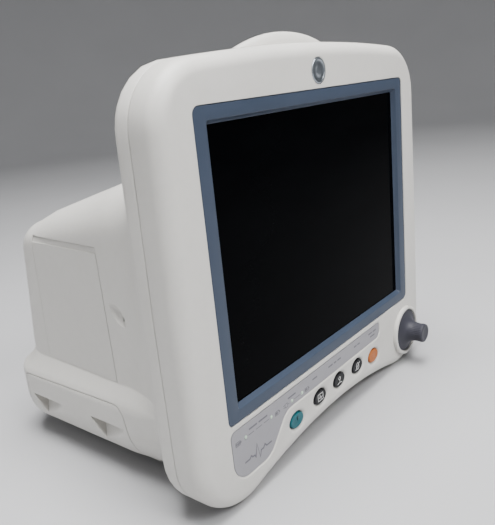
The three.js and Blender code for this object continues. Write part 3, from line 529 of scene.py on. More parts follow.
KEYS = (
    ("power_key", "power_button", -52.0, "key_teal"),
    ("graph_key", "graph_button", -22.5, "key_black"),
    ("cuff_key", "cuff_button", 4.0, "key_black"),
    ("zero_key", "zero_button", 31.0, "key_black"),
    ("silence_key", "silence_button", 57.0, "key_orange"),
)
KEY_WIDTH, KEY_HEIGHT = 7.5, 5.1
KNOB_X, KNOB_Z = 113.0, -118.5
BADGE_X, BADGE_Z = 0.5, 101.5
LAMPS = (
    ("charge_lamp_left", -105, -103), ("charge_lamp_right", -79, -103),
    ("mains_lamp", -56, -103), ("battery_lamp", -44, -103),
)
HEAD_SCREWS = ((-118, 101), (118, 101))


def label_outline(margin=0.0):
    band = [(68, -106.4, 6), (68, -94.5, 2), (-118, -94.5, 4)]
    lobe = [(-117.5, -128.5, 13), (-83, -128.5, 16), (-63, -106.4, 14)]
    return inset(rounded(band + lobe, 14, 2), -margin)


TRIM_X, TRIM_Z, TRIM_DEPTH, TRIM_BACK = 118.5, 90.5, 3.5, 5.2
LABEL_RECESS = ((-1, 1), (0, 1), (0.6, 0.3), (0.85, 0.3))
KEY_DISH = (
    (-0.6, 3.1), (0.0, 3.1), (0.1, 2.6), (0.4, 1.9), (0.9, 1.2), (1.5, 0.7), (2.1, 0.45), (4.5, 0.4),
)


def front_shell():
    outer = round_in(HEAD, 0, FRONT_ROUND)
    seam = SEAM_Y - 0.2
    outer += [ring(HEAD, seam - 0.5), ring(inset(HEAD, 0.12), seam - 0.15), ring(inset(HEAD, 0.45), seam)]
    inner = [ring(inset(HEAD, WALL), seam)] + round_in(HEAD, WALL, FRONT_ROUND, WALL, 5)[::-1]
    shell = skin("front_shell", outer + inner)
    cutters = [
        prism(centred(TRIM_X + GAP, TRIM_Z + GAP, 4.8, 8), "y", -5, 12),
        skin("label_recess", [ring(label_outline(g), y) for y, g in LABEL_RECESS]),
        rod("y", 21.3, -5, 1.6, (KNOB_X, 0, KNOB_Z), 96),
        rod("y", 8.3, -5, 1.2, (BADGE_X, 0, BADGE_Z), 72),
    ]
    for _, _, x, _ in KEYS:
        dish = [ring(ellipse(x, key_z(x), KEY_WIDTH + g, KEY_HEIGHT + g), y) for y, g in KEY_DISH]
        cutters.append(skin("dish", dish))
    combine(shell, merged(*cutters))
    holes = [rod("y", 1.5, -5, 8, (x, 0, z), 24) for _, x, z in LAMPS]
    holes.append(rod("y", 5.3, -5, 8, (KNOB_X, 0, KNOB_Z)))
    combine(shell, merged(*holes))
    show(shell, "front_shell", "housing", "case", ["front_housing"])


# ---------------------------------------------------------------- neck and box

BOX_FRONT, BOX_WIDTH, BOX_TOP, BOX_BOTTOM, BOX_SLOPE, FLARE = 88.0, 120.0, 46.0, -141.5, 0.263, 18.0
SKIRT_WIDTH, LEDGE, LEDGE_RISE, SKIRT_SHOULDER, SKIRT_ROUND = 129.8, -84.0, 0.04, -93.0, 29.0
REAR_EDGE, CROWN, REAR_SKIRT, REAR_ROUND = 204.0, 11.95, 9.0, 26.0
LEAN, LEAN_FROM, LEAN_OVER = 12.0, -73.0, 81.0
COVER_FRONT, COVER_TOP, COVER_BOTTOM = 95.5, 9.7, -83.4
COVER_REAR_TOP, COVER_REAR_BOTTOM = (164, 11.5), (170, -80.4)
DOOR_FRONT, DOOR_REAR, DOOR_TOP = 84.0, 192.0, -94.7


def flare_at(y):
    return min(1.0, max(0.0, (BOX_FRONT - y) / (BOX_FRONT - HEAD_BACK_Y)))


def box_width(y):
    return BOX_WIDTH + FLARE * flare_at(y) ** 2


def box_section(y, wall=0.0):
    side = box_width(y) - wall
    skirt = max(SKIRT_WIDTH, box_width(y) + 0.4) - wall
    top = BOX_TOP + FLARE * flare_at(y) ** 2 - BOX_SLOPE * max(0.0, y - BOX_FRONT) - wall
    shoulder_drop = 4 * min(1.0, max(0.0, (y - BOX_FRONT) / BOX_FRONT))
    ledge = LEDGE + LEDGE_RISE * max(0.0, y - COVER_FRONT) - wall * 0.4
    edge_round = (30 if y < BOX_FRONT else 30 - 0.16 * (y - BOX_FRONT)) - wall
    low_round = SKIRT_ROUND + 0.18 * max(0.0, BOX_FRONT - y) - wall
    right = [
        (skirt, BOX_BOTTOM + wall, low_round),
        (skirt, SKIRT_SHOULDER - wall * 0.4, 12),
        (side, ledge, 2),
        (side, top - shoulder_drop, edge_round),
    ]
    left = [(-x, z, radius) for x, z, radius in reversed(right)]
    foot = (0, BOX_BOTTOM + wall - 0.2, 2e4)
    return rounded([foot, *right, (0, top + 2, 600), *left], 9, [15, 3, 2, 18, 12, 12, 18, 2, 3, 15])


def rear_depth(points):
    x, z = points[:, 0], points[:, 1]
    lean = np.clip((z - LEAN_FROM) / LEAN_OVER, 0, 1.4) * LEAN
    t = np.clip((-z + LEDGE) / (LEDGE - SKIRT_SHOULDER), 0, 1)
    crown = CROWN * np.maximum(0, 1 - (x / SKIRT_WIDTH) ** 2)
    return REAR_EDGE - lean + t * t * (3 - 2 * t) * REAR_SKIRT + crown


def rear_depth_at(x, z):
    return float(rear_depth(np.array([[x, z]], float))[0])


def box_rings(wall, stations):
    middle_z = (BOX_BOTTOM + 20) / 2
    rings = [ring(box_section(y, wall), y) for y in stations]
    radius = REAR_ROUND - wall
    steps = 18
    for k in range(steps + 1):
        angle = math.pi / 2 * k / steps
        section = box_section(176 + radius * math.sin(angle), wall)
        inward = radius * (1 - math.cos(angle))
        across = 1 - inward / BOX_WIDTH
        upwards = 1 - 0.55 * inward / (20 - middle_z)
        pulled = np.stack([section[:, 0] * across, middle_z + (section[:, 1] - middle_z) * upwards], 1)
        rings.append(ring(pulled, rear_depth(pulled) - wall - radius * (1 - math.sin(angle))))
    last = pulled
    for scale in np.linspace(0.93, 0.07, 13):
        section = np.stack([last[:, 0] * scale, middle_z + (last[:, 1] - middle_z) * scale], 1)
        rings.append(ring(section, rear_depth(section) - wall))
    return rings


def cast(outline, targets, centre=(0.0, -40.0)):
    """Where rays from the centre through each target meet a closed outline."""
    centre = np.array(centre)
    a = outline - centre
    b = np.roll(outline, -1, 0) - centre
    hits = []
    for target in targets - centre:
        cross = target[0] * a[:, 1] - target[1] * a[:, 0]
        other = target[0] * b[:, 1] - target[1] * b[:, 0]
        crossing = (cross * other <= 0) & (cross != other)
        t = cross[crossing] / (cross[crossing] - other[crossing])
        points = a[crossing] + (b[crossing] - a[crossing]) * t[:, None]
        ahead = points[(points @ target) > 0]
        hits.append(ahead[np.argmax(np.linalg.norm(ahead, axis=1))] + centre)
    return np.array(hits)


NECK_STATIONS = [34.0, 35.0, 36.0, 37.5, 39.0, 41, 43.5, *range(46, 89, 3)]
BOX_STATIONS = [93, 98, 104, 110, 116, 122, 128, 134, 140, 146, 151]
NECK_FILLET = 5.0


def neck_rings():
    """The neck's rings, with a small fillet where they meet the flat back of the head."""
    back = inset(HEAD, BACK_ROUND)
    rings = []
    for y in NECK_STATIONS:
        section = box_section(y)
        reach = max(0.0, HEAD_BACK_Y + NECK_FILLET - y)
        grow = NECK_FILLET - math.sqrt(max(0.0, NECK_FILLET ** 2 - reach ** 2))
        if grow > 0:
            grown = inset(section, -grow)
            limit = cast(back, section)
            centre = np.array([0.0, -40.0])
            near = np.linalg.norm(section - centre, axis=1)
            far = np.linalg.norm(grown - centre, axis=1)
            cap = np.linalg.norm(limit - centre, axis=1) - 0.25
            share = np.clip((cap - near) / np.maximum(far - near, 1e-6), 0, 1)
            section = section + (grown - section) * share[:, None]
        rings.append(ring(section, y))
    return rings


def rear_outer():
    section = box_section(HEAD_BACK_Y)
    seam = SEAM_Y + 0.2
    outline = cast(HEAD, section)
    rings = [
        ring(cast(inset(HEAD, 0.45), section), seam), ring(cast(inset(HEAD, 0.12), section), seam + 0.15),
        ring(outline, seam + 0.5), ring(outline, 24),
    ]
    for back in round_in(HEAD, 0, BACK_ROUND)[::-1]:
        flat = cast(back[:, [0, 2]], section)
        rings.append(ring(flat, HEAD_BACK_Y - back[0, 1]))
    return skin("rear_outer", rings + neck_rings() + box_rings(0.0, BOX_STATIONS))


def plain_box(wall, start=30.0):
    return skin("plain_box", box_rings(wall, [start] + NECK_STATIONS[2:] + BOX_STATIONS))


def head_hollow():
    seam = SEAM_Y - 1
    rings = [ring(inset(HEAD, WALL), seam)]
    for back in round_in(HEAD, 0, BACK_ROUND, WALL, 5)[::-1]:
        flat = back[:, [0, 2]]
        rings.append(ring(flat, HEAD_BACK_Y - WALL - back[0, 1]))
    return skin("head_hollow", rings)


REAR_PANEL = (-72, 72, -76, -14)
REAR_FLOOR = 199.0
SIDE_PANEL = (98, 170, -76, 8)
SIDE_FLOOR = 110.0
REAR_SCREWS = ((-96, -118), (96, -118))
HINGE_X, HINGE_Z = -111.0, -138.6
BARREL_RADIUS, PIN_HOLE_RADIUS = 2.5, 1.4
DOOR_FOOT = -152


def door_prism(margin):
    outline = rounded([
        (DOOR_FRONT - 12 - margin, DOOR_FOOT, 1), (DOOR_REAR + margin, DOOR_FOOT, 1),
        (DOOR_REAR + margin, DOOR_TOP + margin, 3), (DOOR_FRONT - margin, DOOR_TOP + 0.5 + margin, 10),
    ], 10, 1)
    return prism(outline, "x", -145, HINGE_X + margin)


def cover_prism(margin):
    close = margin * 0.4
    outline = rounded([
        (COVER_FRONT - margin, COVER_BOTTOM - close, 0.6),
        (COVER_REAR_BOTTOM[0] + close, COVER_REAR_BOTTOM[1] - close, 0.6),
        (COVER_REAR_TOP[0] + close, COVER_REAR_TOP[1] + margin, 0.8),
        (COVER_FRONT - margin, COVER_TOP + margin, 0.8),
    ], 4, 1)
    return prism(outline, "x", -130, -100)


def capsule(x, half_width, z0, z1):
    return rectangle(x - half_width, x + half_width, z0, z1, half_width * 0.98, 8)


LEAF_SIZE = (4.7, 10.8, 5.6)
LEAF_Y, LEAF_Z = 83.0, -33.0


def leaf_scoop():
    """The leaf-shaped finger scoop beside the cover; its small slot is cut separately by the caller."""
    mesh = bpy.data.meshes.new("leaf")
    bm = bmesh.new()
    bmesh.ops.create_uvsphere(bm, u_segments=48, v_segments=28, radius=1.0)
    for vertex in bm.verts:
        taper = max(0.02, 1 - vertex.co.y ** 2) ** 0.2
        vertex.co.x *= taper
        vertex.co.z *= taper
    bm.to_mesh(mesh)
    bm.free()
    mesh.transform(Matrix.Diagonal((*LEAF_SIZE, 1.0)))
    mesh.transform(Matrix.Rotation(math.pi / 4, 4, "X"))
    centre = np.array([-box_width(82) - 2.0, LEAF_Y, LEAF_Z]) + FACE_OFFSET
    mesh.transform(Matrix.Translation(Vector(centre)))
    mesh.transform(Matrix.Scale(MM, 4))
    leaf = bpy.data.objects.new("leaf", mesh)
    bpy.context.scene.collection.objects.link(leaf)
    return leaf


def rear_shell():
    shell = rear_outer()
    combine(shell, head_hollow())
    combine(shell, plain_box(WALL))
    x0, x1, z0, z1 = REAR_PANEL
    y0, y1, s0, s1 = SIDE_PANEL
    liners = merged(
        block(x0 - 2.5, x1 + 2.5, REAR_FLOOR - 2, 222, z0 - 2.5, z1 + 2.5),
        block(SIDE_FLOOR - 2, 130, y0 - 2.5, y1 + 2.5, s0 - 2.5, s1 + 2.5),
        *[rod("y", 6.5, rear_depth_at(x, z) - 14, 222, (x, 0, z)) for x, z in REAR_SCREWS],
    )
    combine(liners, plain_box(0.02), operation="INTERSECT")
    combine(shell, liners, operation="UNION")
    recesses = merged(
        prism(rectangle(x0, x1, z0, z1, 3, 6), "y", REAR_FLOOR, 240),
        prism(rectangle(y0, y1, s0, s1, 3, 6), "x", SIDE_FLOOR, 150),
    )
    backs = merged(
        block(-66, 66, 180, 200, z0 + 5, z1 - 5),
        block(100, 114, y0 + 4, y1 - 4, s0 + 4, s1 - 4),
    )
    combine(shell, recesses, backs, door_prism(0.6), cover_prism(0.5))
    small = [prism(capsule(-64 + 16 * i, 2, -8, 8), "y", 185, 240) for i in range(9)]
    small += [rod("y", 4, 31.8, 45, (x, 0, z)) for x, z in HEAD_SCREWS]
    small += [rod("y", 4, rear_depth_at(x, z) - 7, 240, (x, 0, z)) for x, z in REAR_SCREWS]
    small.append(rod("y", 3.4, 70.6, DOOR_REAR + 0.6, (HINGE_X, 0, HINGE_Z)))
    combine(shell, merged(*small))
    combine(shell, leaf_scoop(), block(-124, -114, 79.0, 80.6, -37.4, -33.0))
    show(shell, "rear_shell", "housing", "case", ["rear_housing"], 40)


# ---------------------------------------------------------------- handle


GRIP_HALF_LENGTH, GRIP_LOW, GRIP_PEAK = 72, 94, 127.45


def grip_outline(half_length, low, peak, steps=56):
    angle = math.pi * np.arange(steps + 1) / steps
    arch = np.stack([half_length * np.cos(angle), low + (peak - low) * np.sin(angle)], 1)
    base = np.stack([np.linspace(-half_length, half_length, 16)[1:-1], np.full(14, low)], 1)
    return np.vstack([arch, base])


def handle():
    rise = [
        (20.8, 5, 0.9), (22.6, 1.4, 0.96), (25.5, 0, 1), (31, 1.5, 1), (38, 5, 0.99),
        (46, 9.5, 0.98), (54, 14.5, 0.96), (62, 20, 0.93), (69, 26, 0.88),
    ]
    rings = []
    for y, drop, reach in blend_rows(rise, 44):
        low = GRIP_LOW + 0.8 * max(0.0, y - 67)
        rings.append(ring(grip_outline(GRIP_HALF_LENGTH * reach, low, GRIP_PEAK - drop), y))
    grip = skin("handle", rings)
    back = [ring(inset(HEAD, -0.3), 19.0)]
    for row in round_in(HEAD, 0, BACK_ROUND)[::-1]:
        back.append(ring(inset(row[:, [0, 2]], -0.3), HEAD_BACK_Y + 0.3 - row[0, 1]))
    pocket = rounded([(36.8, 88, 1), (58, 88, 1), (58, 104, 5), (36.8, 111, 4)], 10, 1)
    combine(grip, skin("back", back), prism(pocket, "x", -46, 46))
    show(grip, "handle_grip", "housing", "case", ["carry_handle"], 40)


# ---------------------------------------------------------------- left side: cover and battery flap


def side_cover():
    cover = cover_prism(0.0)
    combine(cover, plain_box(0.02), operation="INTERSECT")
    combine(cover, plain_box(WALL))
    strip = prism([(90, 5.8), (175, 8.0), (175, 30), (90, 30)], "x", -130, -100)
    combine(strip, plain_box(0.7))
    combine(cover, strip)
    show(cover, "cover_panel", "housing", "case", ["side_cover"], 40)


SCOOPS = ((82, 118), (149, 186))
SCOOP_LIP = -110.2


def scoop_cutter(y0, y1):
    """A finger scoop: an undercut below a crisp lip, deepest at its slanting rear wall."""
    rings = []
    for t in np.linspace(0, 1, 14):
        inner = -130.6 + 11.0 * t
        bottom = SCOOP_LIP - 5 - 14 * t
        outline = rounded([
            (-146, bottom - 3, 0.5), (-131.2, bottom - 1.5, 1.2), (inner, SCOOP_LIP - 2.6, 0.3 + 1.6 * t),
            (inner + 0.5 * t, SCOOP_LIP, 0.2 + 0.5 * t), (-146, SCOOP_LIP + 1.2, 0.5),
        ], 6, 1)
        slant = 0.75 * t * (SCOOP_LIP - outline[:, 1])
        rings.append(ring(outline, y0 + (y1 - y0) * t - slant))
    return skin("scoop", rings)


def battery_flap():
    flap = door_prism(0.0)
    combine(flap, plain_box(0.02), operation="INTERSECT")
    combine(flap, plain_box(WALL))
    linings = []
    for y0, y1 in SCOOPS:
        lining = prism(rounded([(-146, -133, 1), (-117, -128, 3), (-117, -108.4, 2), (-146, -108.4, 1)],
                               5, 1), "y", y0 + 4, y1 + 1.8)
        linings.append(lining)
    lining = merged(*linings)
    combine(lining, plain_box(0.4), door_prism(-1.0), operation="INTERSECT")
    combine(flap, lining, operation="UNION")
    hinge = (HINGE_X, 0, HINGE_Z)
    combine(flap, rod("y", BARREL_RADIUS, 72, DOOR_REAR - 0.4, hinge, 32), operation="UNION")
    combine(flap, rod("y", PIN_HOLE_RADIUS, 60, 210, hinge, 24))
    combine(flap, merged(*[scoop_cutter(y0, y1) for y0, y1 in SCOOPS]))
    show(flap, "battery_flap_panel", "housing", "battery_flap", ["battery_door"], 40)


# ---------------------------------------------------------------- display frame and face details


def display_frame():
    def outer(g):
        return centred(TRIM_X - g, TRIM_Z - g, 4.5 - min(g, 3), 10, 2)

    rings = [ring(outer(0), TRIM_BACK), ring(outer(0), 1.0)]
    for k in range(5):
        a = math.pi / 2 * k / 4
        rings.append(ring(outer(0.8 * (1 - math.cos(a))), 1.0 - 0.8 * math.sin(a)))
    for k in range(5):
        a = math.pi / 2 * k / 4
        g = 0.7 * (1 - math.sin(a))
        opening = centred(108.5 + g, 82.5 + g, 1.6 + g, 10, 2)
        rings.append(ring(opening, 0.2 + 0.7 * (1 - math.cos(a))))
    rebate = centred(112.3, 85.3, 2.3, 10, 2)
    rings += [ring(centred(106.8, 80.8, 1.1, 10, 2), 3.2), ring(centred(106.5, 80.5, 1.0, 10, 2), TRIM_DEPTH)]
    rings += [ring(rebate, TRIM_DEPTH), ring(rebate, TRIM_BACK)]
    bezel = skin("bezel", rings, closed=True)
    show(bezel, "display_bezel", "trim", "case", ["display_trim"], 50)


def strip_mark(points, width, y, depth=0.25):
    """A pen stroke of one width along a path on the face, with mitred turns and square ends."""
    points = np.array(points, float)
    steps = np.diff(points, axis=0)
    steps /= np.linalg.norm(steps, axis=1)[:, None]
    normals = np.stack([-steps[:, 1], steps[:, 0]], 1)
    before = np.vstack([normals[:1], normals])
    after = np.vstack([normals, normals[-1:]])
    mitre = before + after
    sharpness = np.maximum((mitre * before).sum(1), 0.35)
    side = mitre / sharpness[:, None] * width / 2
    outline = np.vstack([points + side, (points - side)[::-1]])
    return prism(outline[::-1], "y", y, y + depth)


def bar(x0, x1, z, height, y, depth=0.25):
    return prism(rectangle(x0, x1, z - height / 2, z + height / 2, height * 0.3, 4), "y", y, y + depth)


def loop(x, z, half_width, half_height, line, y, steps=40):
    """An elliptical outline of one line width."""
    outer = ellipse(x, z, half_width, half_height, steps)
    inner = ellipse(x, z, half_width - line, half_height - line, steps)
    rings = [ring(outer, y + 0.25), ring(outer, y), ring(inner, y), ring(inner, y + 0.25)]
    return skin("loop", rings, closed=True)


def frame_mark(x0, x1, z0, z1, line, y):
    outer = rectangle(x0, x1, z0, z1, line, 3)
    inner = rectangle(x0 + line, x1 - line, z0 + line, z1 - line, line * 0.4, 3)
    rings = [ring(outer, y + 0.25), ring(outer, y), ring(inner, y), ring(inner, y + 0.25)]
    return skin("frame", rings, closed=True)


def battery_mark(x, z, y, cells):
    marks = [frame_mark(x - 2.6, x + 2.0, z - 1.5, z + 1.5, 0.4, y), bar(x + 2.2, x + 2.8, z, 1.4, y)]
    marks += [bar(x - 1.9 + 1.2 * i, x - 1.1 + 1.2 * i, z, 1.7, y) for i in range(cells)]
    return marks


LABEL_Y = 0.35


def label():
    plate = prism(label_outline(0.0), "y", LABEL_Y, 0.84)
    combine(plate, merged(*[rod("y", 1.4, -1, 2, (x, 0, z), 24) for _, x, z in LAMPS]))
    bevelled(plate, 0.08, 1)
    show(plate, "label_overlay", "label", "case", ["label_panel"])
    y = LABEL_Y - 0.04
    marks = battery_mark(-112.2, -103.4, y, 3) + battery_mark(-72.6, -103.4, y, 2)
    marks += [
        bar(-101.5, -93.5, -99.6, 1.15, y), bar(-92, -83, -99.6, 1.15, y),
        bar(-102.5, -97, -103, 0.45, y), bar(-95, -89, -103, 0.45, y), bar(-87, -81.5, -103, 0.45, y),
        bar(-60.5, -51.5, -99.4, 1.15, y), bar(-53.5, -46.5, -103, 0.45, y),
        bar(-31, -25, -99.6, 1.15, y),
        bar(-10, -4, -99.6, 1.15, y), bar(-2.5, 1, -99.6, 1.15, y), bar(2.5, 7.5, -99.6, 1.15, y),
        bar(27, 31, -99.6, 1.15, y), bar(32.4, 36, -99.6, 1.15, y),
        bar(50, 56, -98.6, 1.1, y), bar(57.2, 62.5, -98.6, 1.1, y), bar(52.5, 60, -101.6, 1.1, y),
    ]
    # mains plug symbol and a small battery beside the power lamps
    marks += [frame_mark(-64.2, -61.0, -104.6, -101.6, 0.4, y), bar(-66.0, -64.2, -102.4, 0.45, y),
              bar(-66.0, -64.2, -103.8, 0.45, y), bar(-61.0, -59.2, -103.1, 0.45, y)]
    marks += battery_mark(-38.2, -103.0, y, 2)
    # a plain pulse trace in the lobe
    trace = [(-108, -119), (-103.5, -119), (-102, -117.6), (-100.5, -119), (-98.8, -119), (-97.6, -120.6),
             (-95.6, -112.6), (-93.4, -123.2), (-92, -119), (-89.6, -119), (-88, -117.2), (-86.2, -119),
             (-81, -119)]
    marks.append(strip_mark(np.array(trace), 1.1, y))
    show(merged(*marks), "label_marks", "mark", "case")


def key_marks(name, x, y):
    """A simple symbol for each key."""
    z = key_z(x)
    if name == "power_key":
        turn = np.linspace(0.6, 5.68, 26)
        stroke = np.stack([2.4 * np.sin(turn), 2.4 * np.cos(turn)], 1)
        return [strip_mark(stroke + (x, z - 0.2), 0.5, y), bar(x - 0.25, x + 0.25, z + 1.6, 2.4, y)]
    if name == "graph_key":
        wave = [(-2.2, -0.4), (-1.1, -0.4), (-0.5, 1.3), (0.4, -1.5), (1.0, -0.2), (2.2, -0.2)]
        return [frame_mark(x - 3.4, x + 3.4, z - 2.7, z + 2.7, 0.45, y),
                strip_mark(np.array(wave) + (x, z), 0.45, y)]
    if name == "cuff_key":
        return [loop(x, z + 1.3, 1.5, 1.3, 0.45, y), bar(x - 0.25, x + 0.25, z - 1.0, 2.2, y),
                strip_mark([(x - 3.2, z - 2.6), (x, z - 1.9), (x + 3.2, z - 2.6)], 0.55, y)]
    if name == "zero_key":
        return [loop(x, z, 2.0, 2.9, 0.5, y), strip_mark([(x - 3.4, z - 2.6), (x + 3.4, z + 2.6)], 0.5, y)]
    bell = rounded([(x - 2.6, z - 1.5, 0.3), (x + 2.6, z - 1.5, 0.3), (x + 1.5, z + 2.3, 1.3),
                    (x - 1.5, z + 2.3, 1.3)], 5, 1)
    return [prism(bell, "y", y, y + 0.25), bar(x - 0.8, x + 0.8, z - 2.2, 0.8, y),
            strip_mark([(x - 3.6, z + 2.6), (x + 3.6, z - 2.8)], 0.45, y - 0.02)]


def keys():
    for name, body, x, finish in KEYS:
        z = key_z(x)
        rows = [(3.6, 0.0), (0.9, 0.0)]
        rows += [(0.9 - 0.75 * math.sin(a), 0.75 * (1 - math.cos(a))) for a in np.linspace(0.2, 1.57, 6)]
        rows += [(0.2, 1.6), (0.26, 2.8), (0.3, 4.4)]
        rings = [ring(ellipse(x, z, KEY_WIDTH - g, KEY_HEIGHT - g), y) for y, g in rows]
        cap = skin("cap", rings)
        stem = rod("y", 2, 3.4, 6.2, (x, 0, z), 24)
        flange = prism(ellipse(x, z, KEY_WIDTH + 1.4, KEY_HEIGHT + 1.4), "y", 3.5, 4.5)
        cap = merged(cap, stem, flange)
        show(cap, name.replace("_key", "_cap"), finish, body, [name], 50)
        ink = {"key_black": "white_mark", "key_teal": "teal_mark", "key_orange": "orange_mark"}[finish]
        marks = merged(*key_marks(name, x, 0.14))
        show(marks, name.replace("_key", "_symbol"), ink, body)


def face_details():
    ring_rows = [(18.2, 1.3), (18.2, -2.2)]
    ring_rows += [(18.2 + 0.8 * (1 - math.cos(a)), -2.2 - 0.8 * math.sin(a))
                  for a in np.linspace(0.2, 1.57, 7)]
    ring_rows += [(21 - 1.4 * (1 - math.sin(a)), -1.6 - 1.4 * math.cos(a)) for a in np.linspace(0, 1.57, 9)]
    ring_rows += [(21, 1.3)]
    collar = turned("collar", ring_rows, "y", (KNOB_X, 0, KNOB_Z), 128)
    show(collar, "knob_collar", "housing", "case", ["knob_ring"], 50)

    badge_rows = [(0, 0.9), (8, 0.9), (8, 0.1)]
    badge_rows += [(8 - 0.9 * (1 - math.cos(a)), 0.1 - 0.6 * math.sin(a)) for a in np.linspace(0.2, 1.57, 6)]
    badge_rows += [(6.6, -0.48), (6.3, -0.2), (6.0, -0.05), (3.6, -0.05), (3.3, -0.25), (2.4, -0.42),
                   (0, -0.46)]
    disc = turned("badge", badge_rows[::-1], "y", (BADGE_X, 0, BADGE_Z), 96)
    show(disc, "badge_disc", "badge", "case", ["badge"], 50)

    for name, x, z in LAMPS:
        rows = [(0, 7), (1.2, 7), (1.2, 0.3)]
        rows += [(1.2 * math.cos(a), 0.3 - 0.35 * math.sin(a)) for a in np.linspace(0.3, 1.57, 5)]
        lamp = turned(name, rows[::-1], "y", (x, 0, z), 32)
        show(lamp, name + "_lens", "lens", "case", [name], 50)


def knob():
    """Push-and-turn knob: a fine-ribbed grip that sweeps out into a wide base."""
    profile = blend_rows([
        (17.55, -1.1), (17.5, -1.8), (15.8, -2.4), (13.2, -3.2), (10.8, -4.5), (9.2, -6.2), (8.3, -8.6),
        (7.75, -11.6), (7.7, -14.2), (7.9, -16.8), (7.6, -18.3), (6.9, -18.9), (5.6, -18.96), (3.6, -18.6),
        (1.6, -18.45), (0.01, -18.4),
    ], 90)
    segments = 192
    angle = 2 * math.pi * np.arange(segments) / segments

    def circle(radius, height):
        return np.stack([KNOB_X + radius * np.cos(angle), np.full(segments, height),
                         KNOB_Z + radius * np.sin(angle)], 1)

    rings = [circle(3.2, -1.1), circle(17.4, -1.02)]
    for radius, height in profile:
        ribs = 0.22 * np.clip((-height - 8.0) / 2.0, 0, 1) * np.clip(height + 18.0, 0, 1)
        rings.append(circle(radius - ribs * (0.5 + 0.5 * np.cos(angle * 32)) ** 2, height))
    body = skin("knob", rings)
    show(body, "knob_grip", "knob", "knob", ["trim_knob"], 60)


# ---------------------------------------------------------------- connectors

PATIENT_PORTS = (
    ("ecg_connector", 152, -8, 12.5, 9, 8, "green", 6),
    ("oxygen_sensor_connector", 116, -8, 10.5, 6, 6, "blue", 4),
    ("temperature_connector", 116, -34, 9, 5, 4.6, "brown", 3),
    ("pressure_connector_upper", 152, -36, 10.5, 7, 6, "red", 5),
    ("pressure_connector_lower", 152, -61, 10.5, 7, 6, "red", 5),
)


def receptacle(name, y, z, radius, proud, socket, finish, pins):
    face = SIDE_FLOOR + 3
    out = face + proud
    rows = [
        (radius - 2, face - 12), (radius - 2, face), (radius, face), (radius, face + 1.7),
        (radius - 0.2, face + 2.2), (radius - 0.7, face + 2.4), (radius - 1.8, face + 2.4),
        (radius - 2, face + 2.7), (radius - 2, out - 0.7), (radius - 2.2, out - 0.2), (radius - 2.7, out),
        (socket + 0.6, out), (socket + 0.15, out - 0.2), (socket, out - 0.6), (socket, face - 5),
    ]
    shell = turned(name, rows + [(0, face - 5), (0, face - 12)], "x", (0, y, z), 72)
    keyway = block(face - 4.8, out + 1, y - 1.0, y + 1.0, z + socket - 0.8, z + socket + 1.0)
    combine(shell, keyway)
    grooves = []
    for a in np.linspace(0, 2 * math.pi, 19)[:-1]:
        spot = (0, y + (radius - 1.6) * math.cos(a), z + (radius - 1.6) * math.sin(a))
        grooves.append(rod("x", 1.0, face + 3.4, out + 2, spot, 16))
    combine(shell, merged(*grooves))
    show(shell, name + "_shell", finish, "case", [name], 40)
    contacts = []
    for k in range(pins):
        a = 2 * math.pi * k / pins + 0.5
        spot = (0, y + socket * 0.55 * math.cos(a), z + socket * 0.55 * math.sin(a))
        rows = [(0, face - 5.2), (0.55, face - 5.2), (0.55, face + 0.2), (0.35, face + 0.8), (0, face + 1.0)]
        contacts.append(turned("pin", rows, "x", spot, 20))
    show(merged(*contacts), name + "_pins", "gold", "case")


def plate_with_holes(name, outline, axis, low, high, holes, node, slot):
    plate = prism(outline, axis, low, high)
    combine(plate, merged(*holes))
    bevelled(plate, 0.25, 2)
    show(plate, name, slot, "case", [node])


def side_connectors():
    y0, y1, z0, z1 = SIDE_PANEL
    holes = [rod("x", radius - 1.6, 100, 130, (0, y, z)) for _, y, z, radius, *_ in PATIENT_PORTS]
    holes.append(rod("x", 6, 100, 130, (0, 116, -61)))
    outline = rectangle(y0 + GAP, y1 - GAP, z0 + GAP, z1 - GAP, 2.7, 6)
    plate_with_holes("connector_plate", outline, "x", SIDE_FLOOR + GAP, SIDE_FLOOR + 2.7, holes,
                     "connector_panel", "panel")
    for port in PATIENT_PORTS:
        receptacle(*port)
    rows = [
        (2.6, 100), (5.6, 100), (5.6, 113), (8.3, 113), (8.6, 113.3), (8.6, 115.1), (8.3, 115.4),
        (5.6, 115.4), (5.2, 115.9), (5.2, 117.2), (5.9, 118.2), (6.1, 119.2), (5.8, 120.0), (5.2, 120.3),
        (5.2, 121), (5.9, 121.6), (5.7, 122.4), (4.6, 124), (3.0, 124), (2.6, 123.6),
    ]
    hose = turned("cuff_fitting", rows, "x", (0, 116, -61), 72)
    show(hose, "cuff_fitting", "steel", "case", ["cuff_hose_fitting"], 40)
    x = SIDE_FLOOR + 2.68
    marks = []
    for _, y, z, radius, *_ in PATIENT_PORTS:
        marks.append((y - 3, y + 3, z + radius + 1.6))
    marks.append((113, 119, -61 + 10.6))
    strips = [prism(rectangle(a, b, z - 0.5, z + 0.5, 0.3, 3), "x", x, x + 0.06) for a, b, z in marks]
    show(merged(*strips), "connector_marks", "mark", "case")


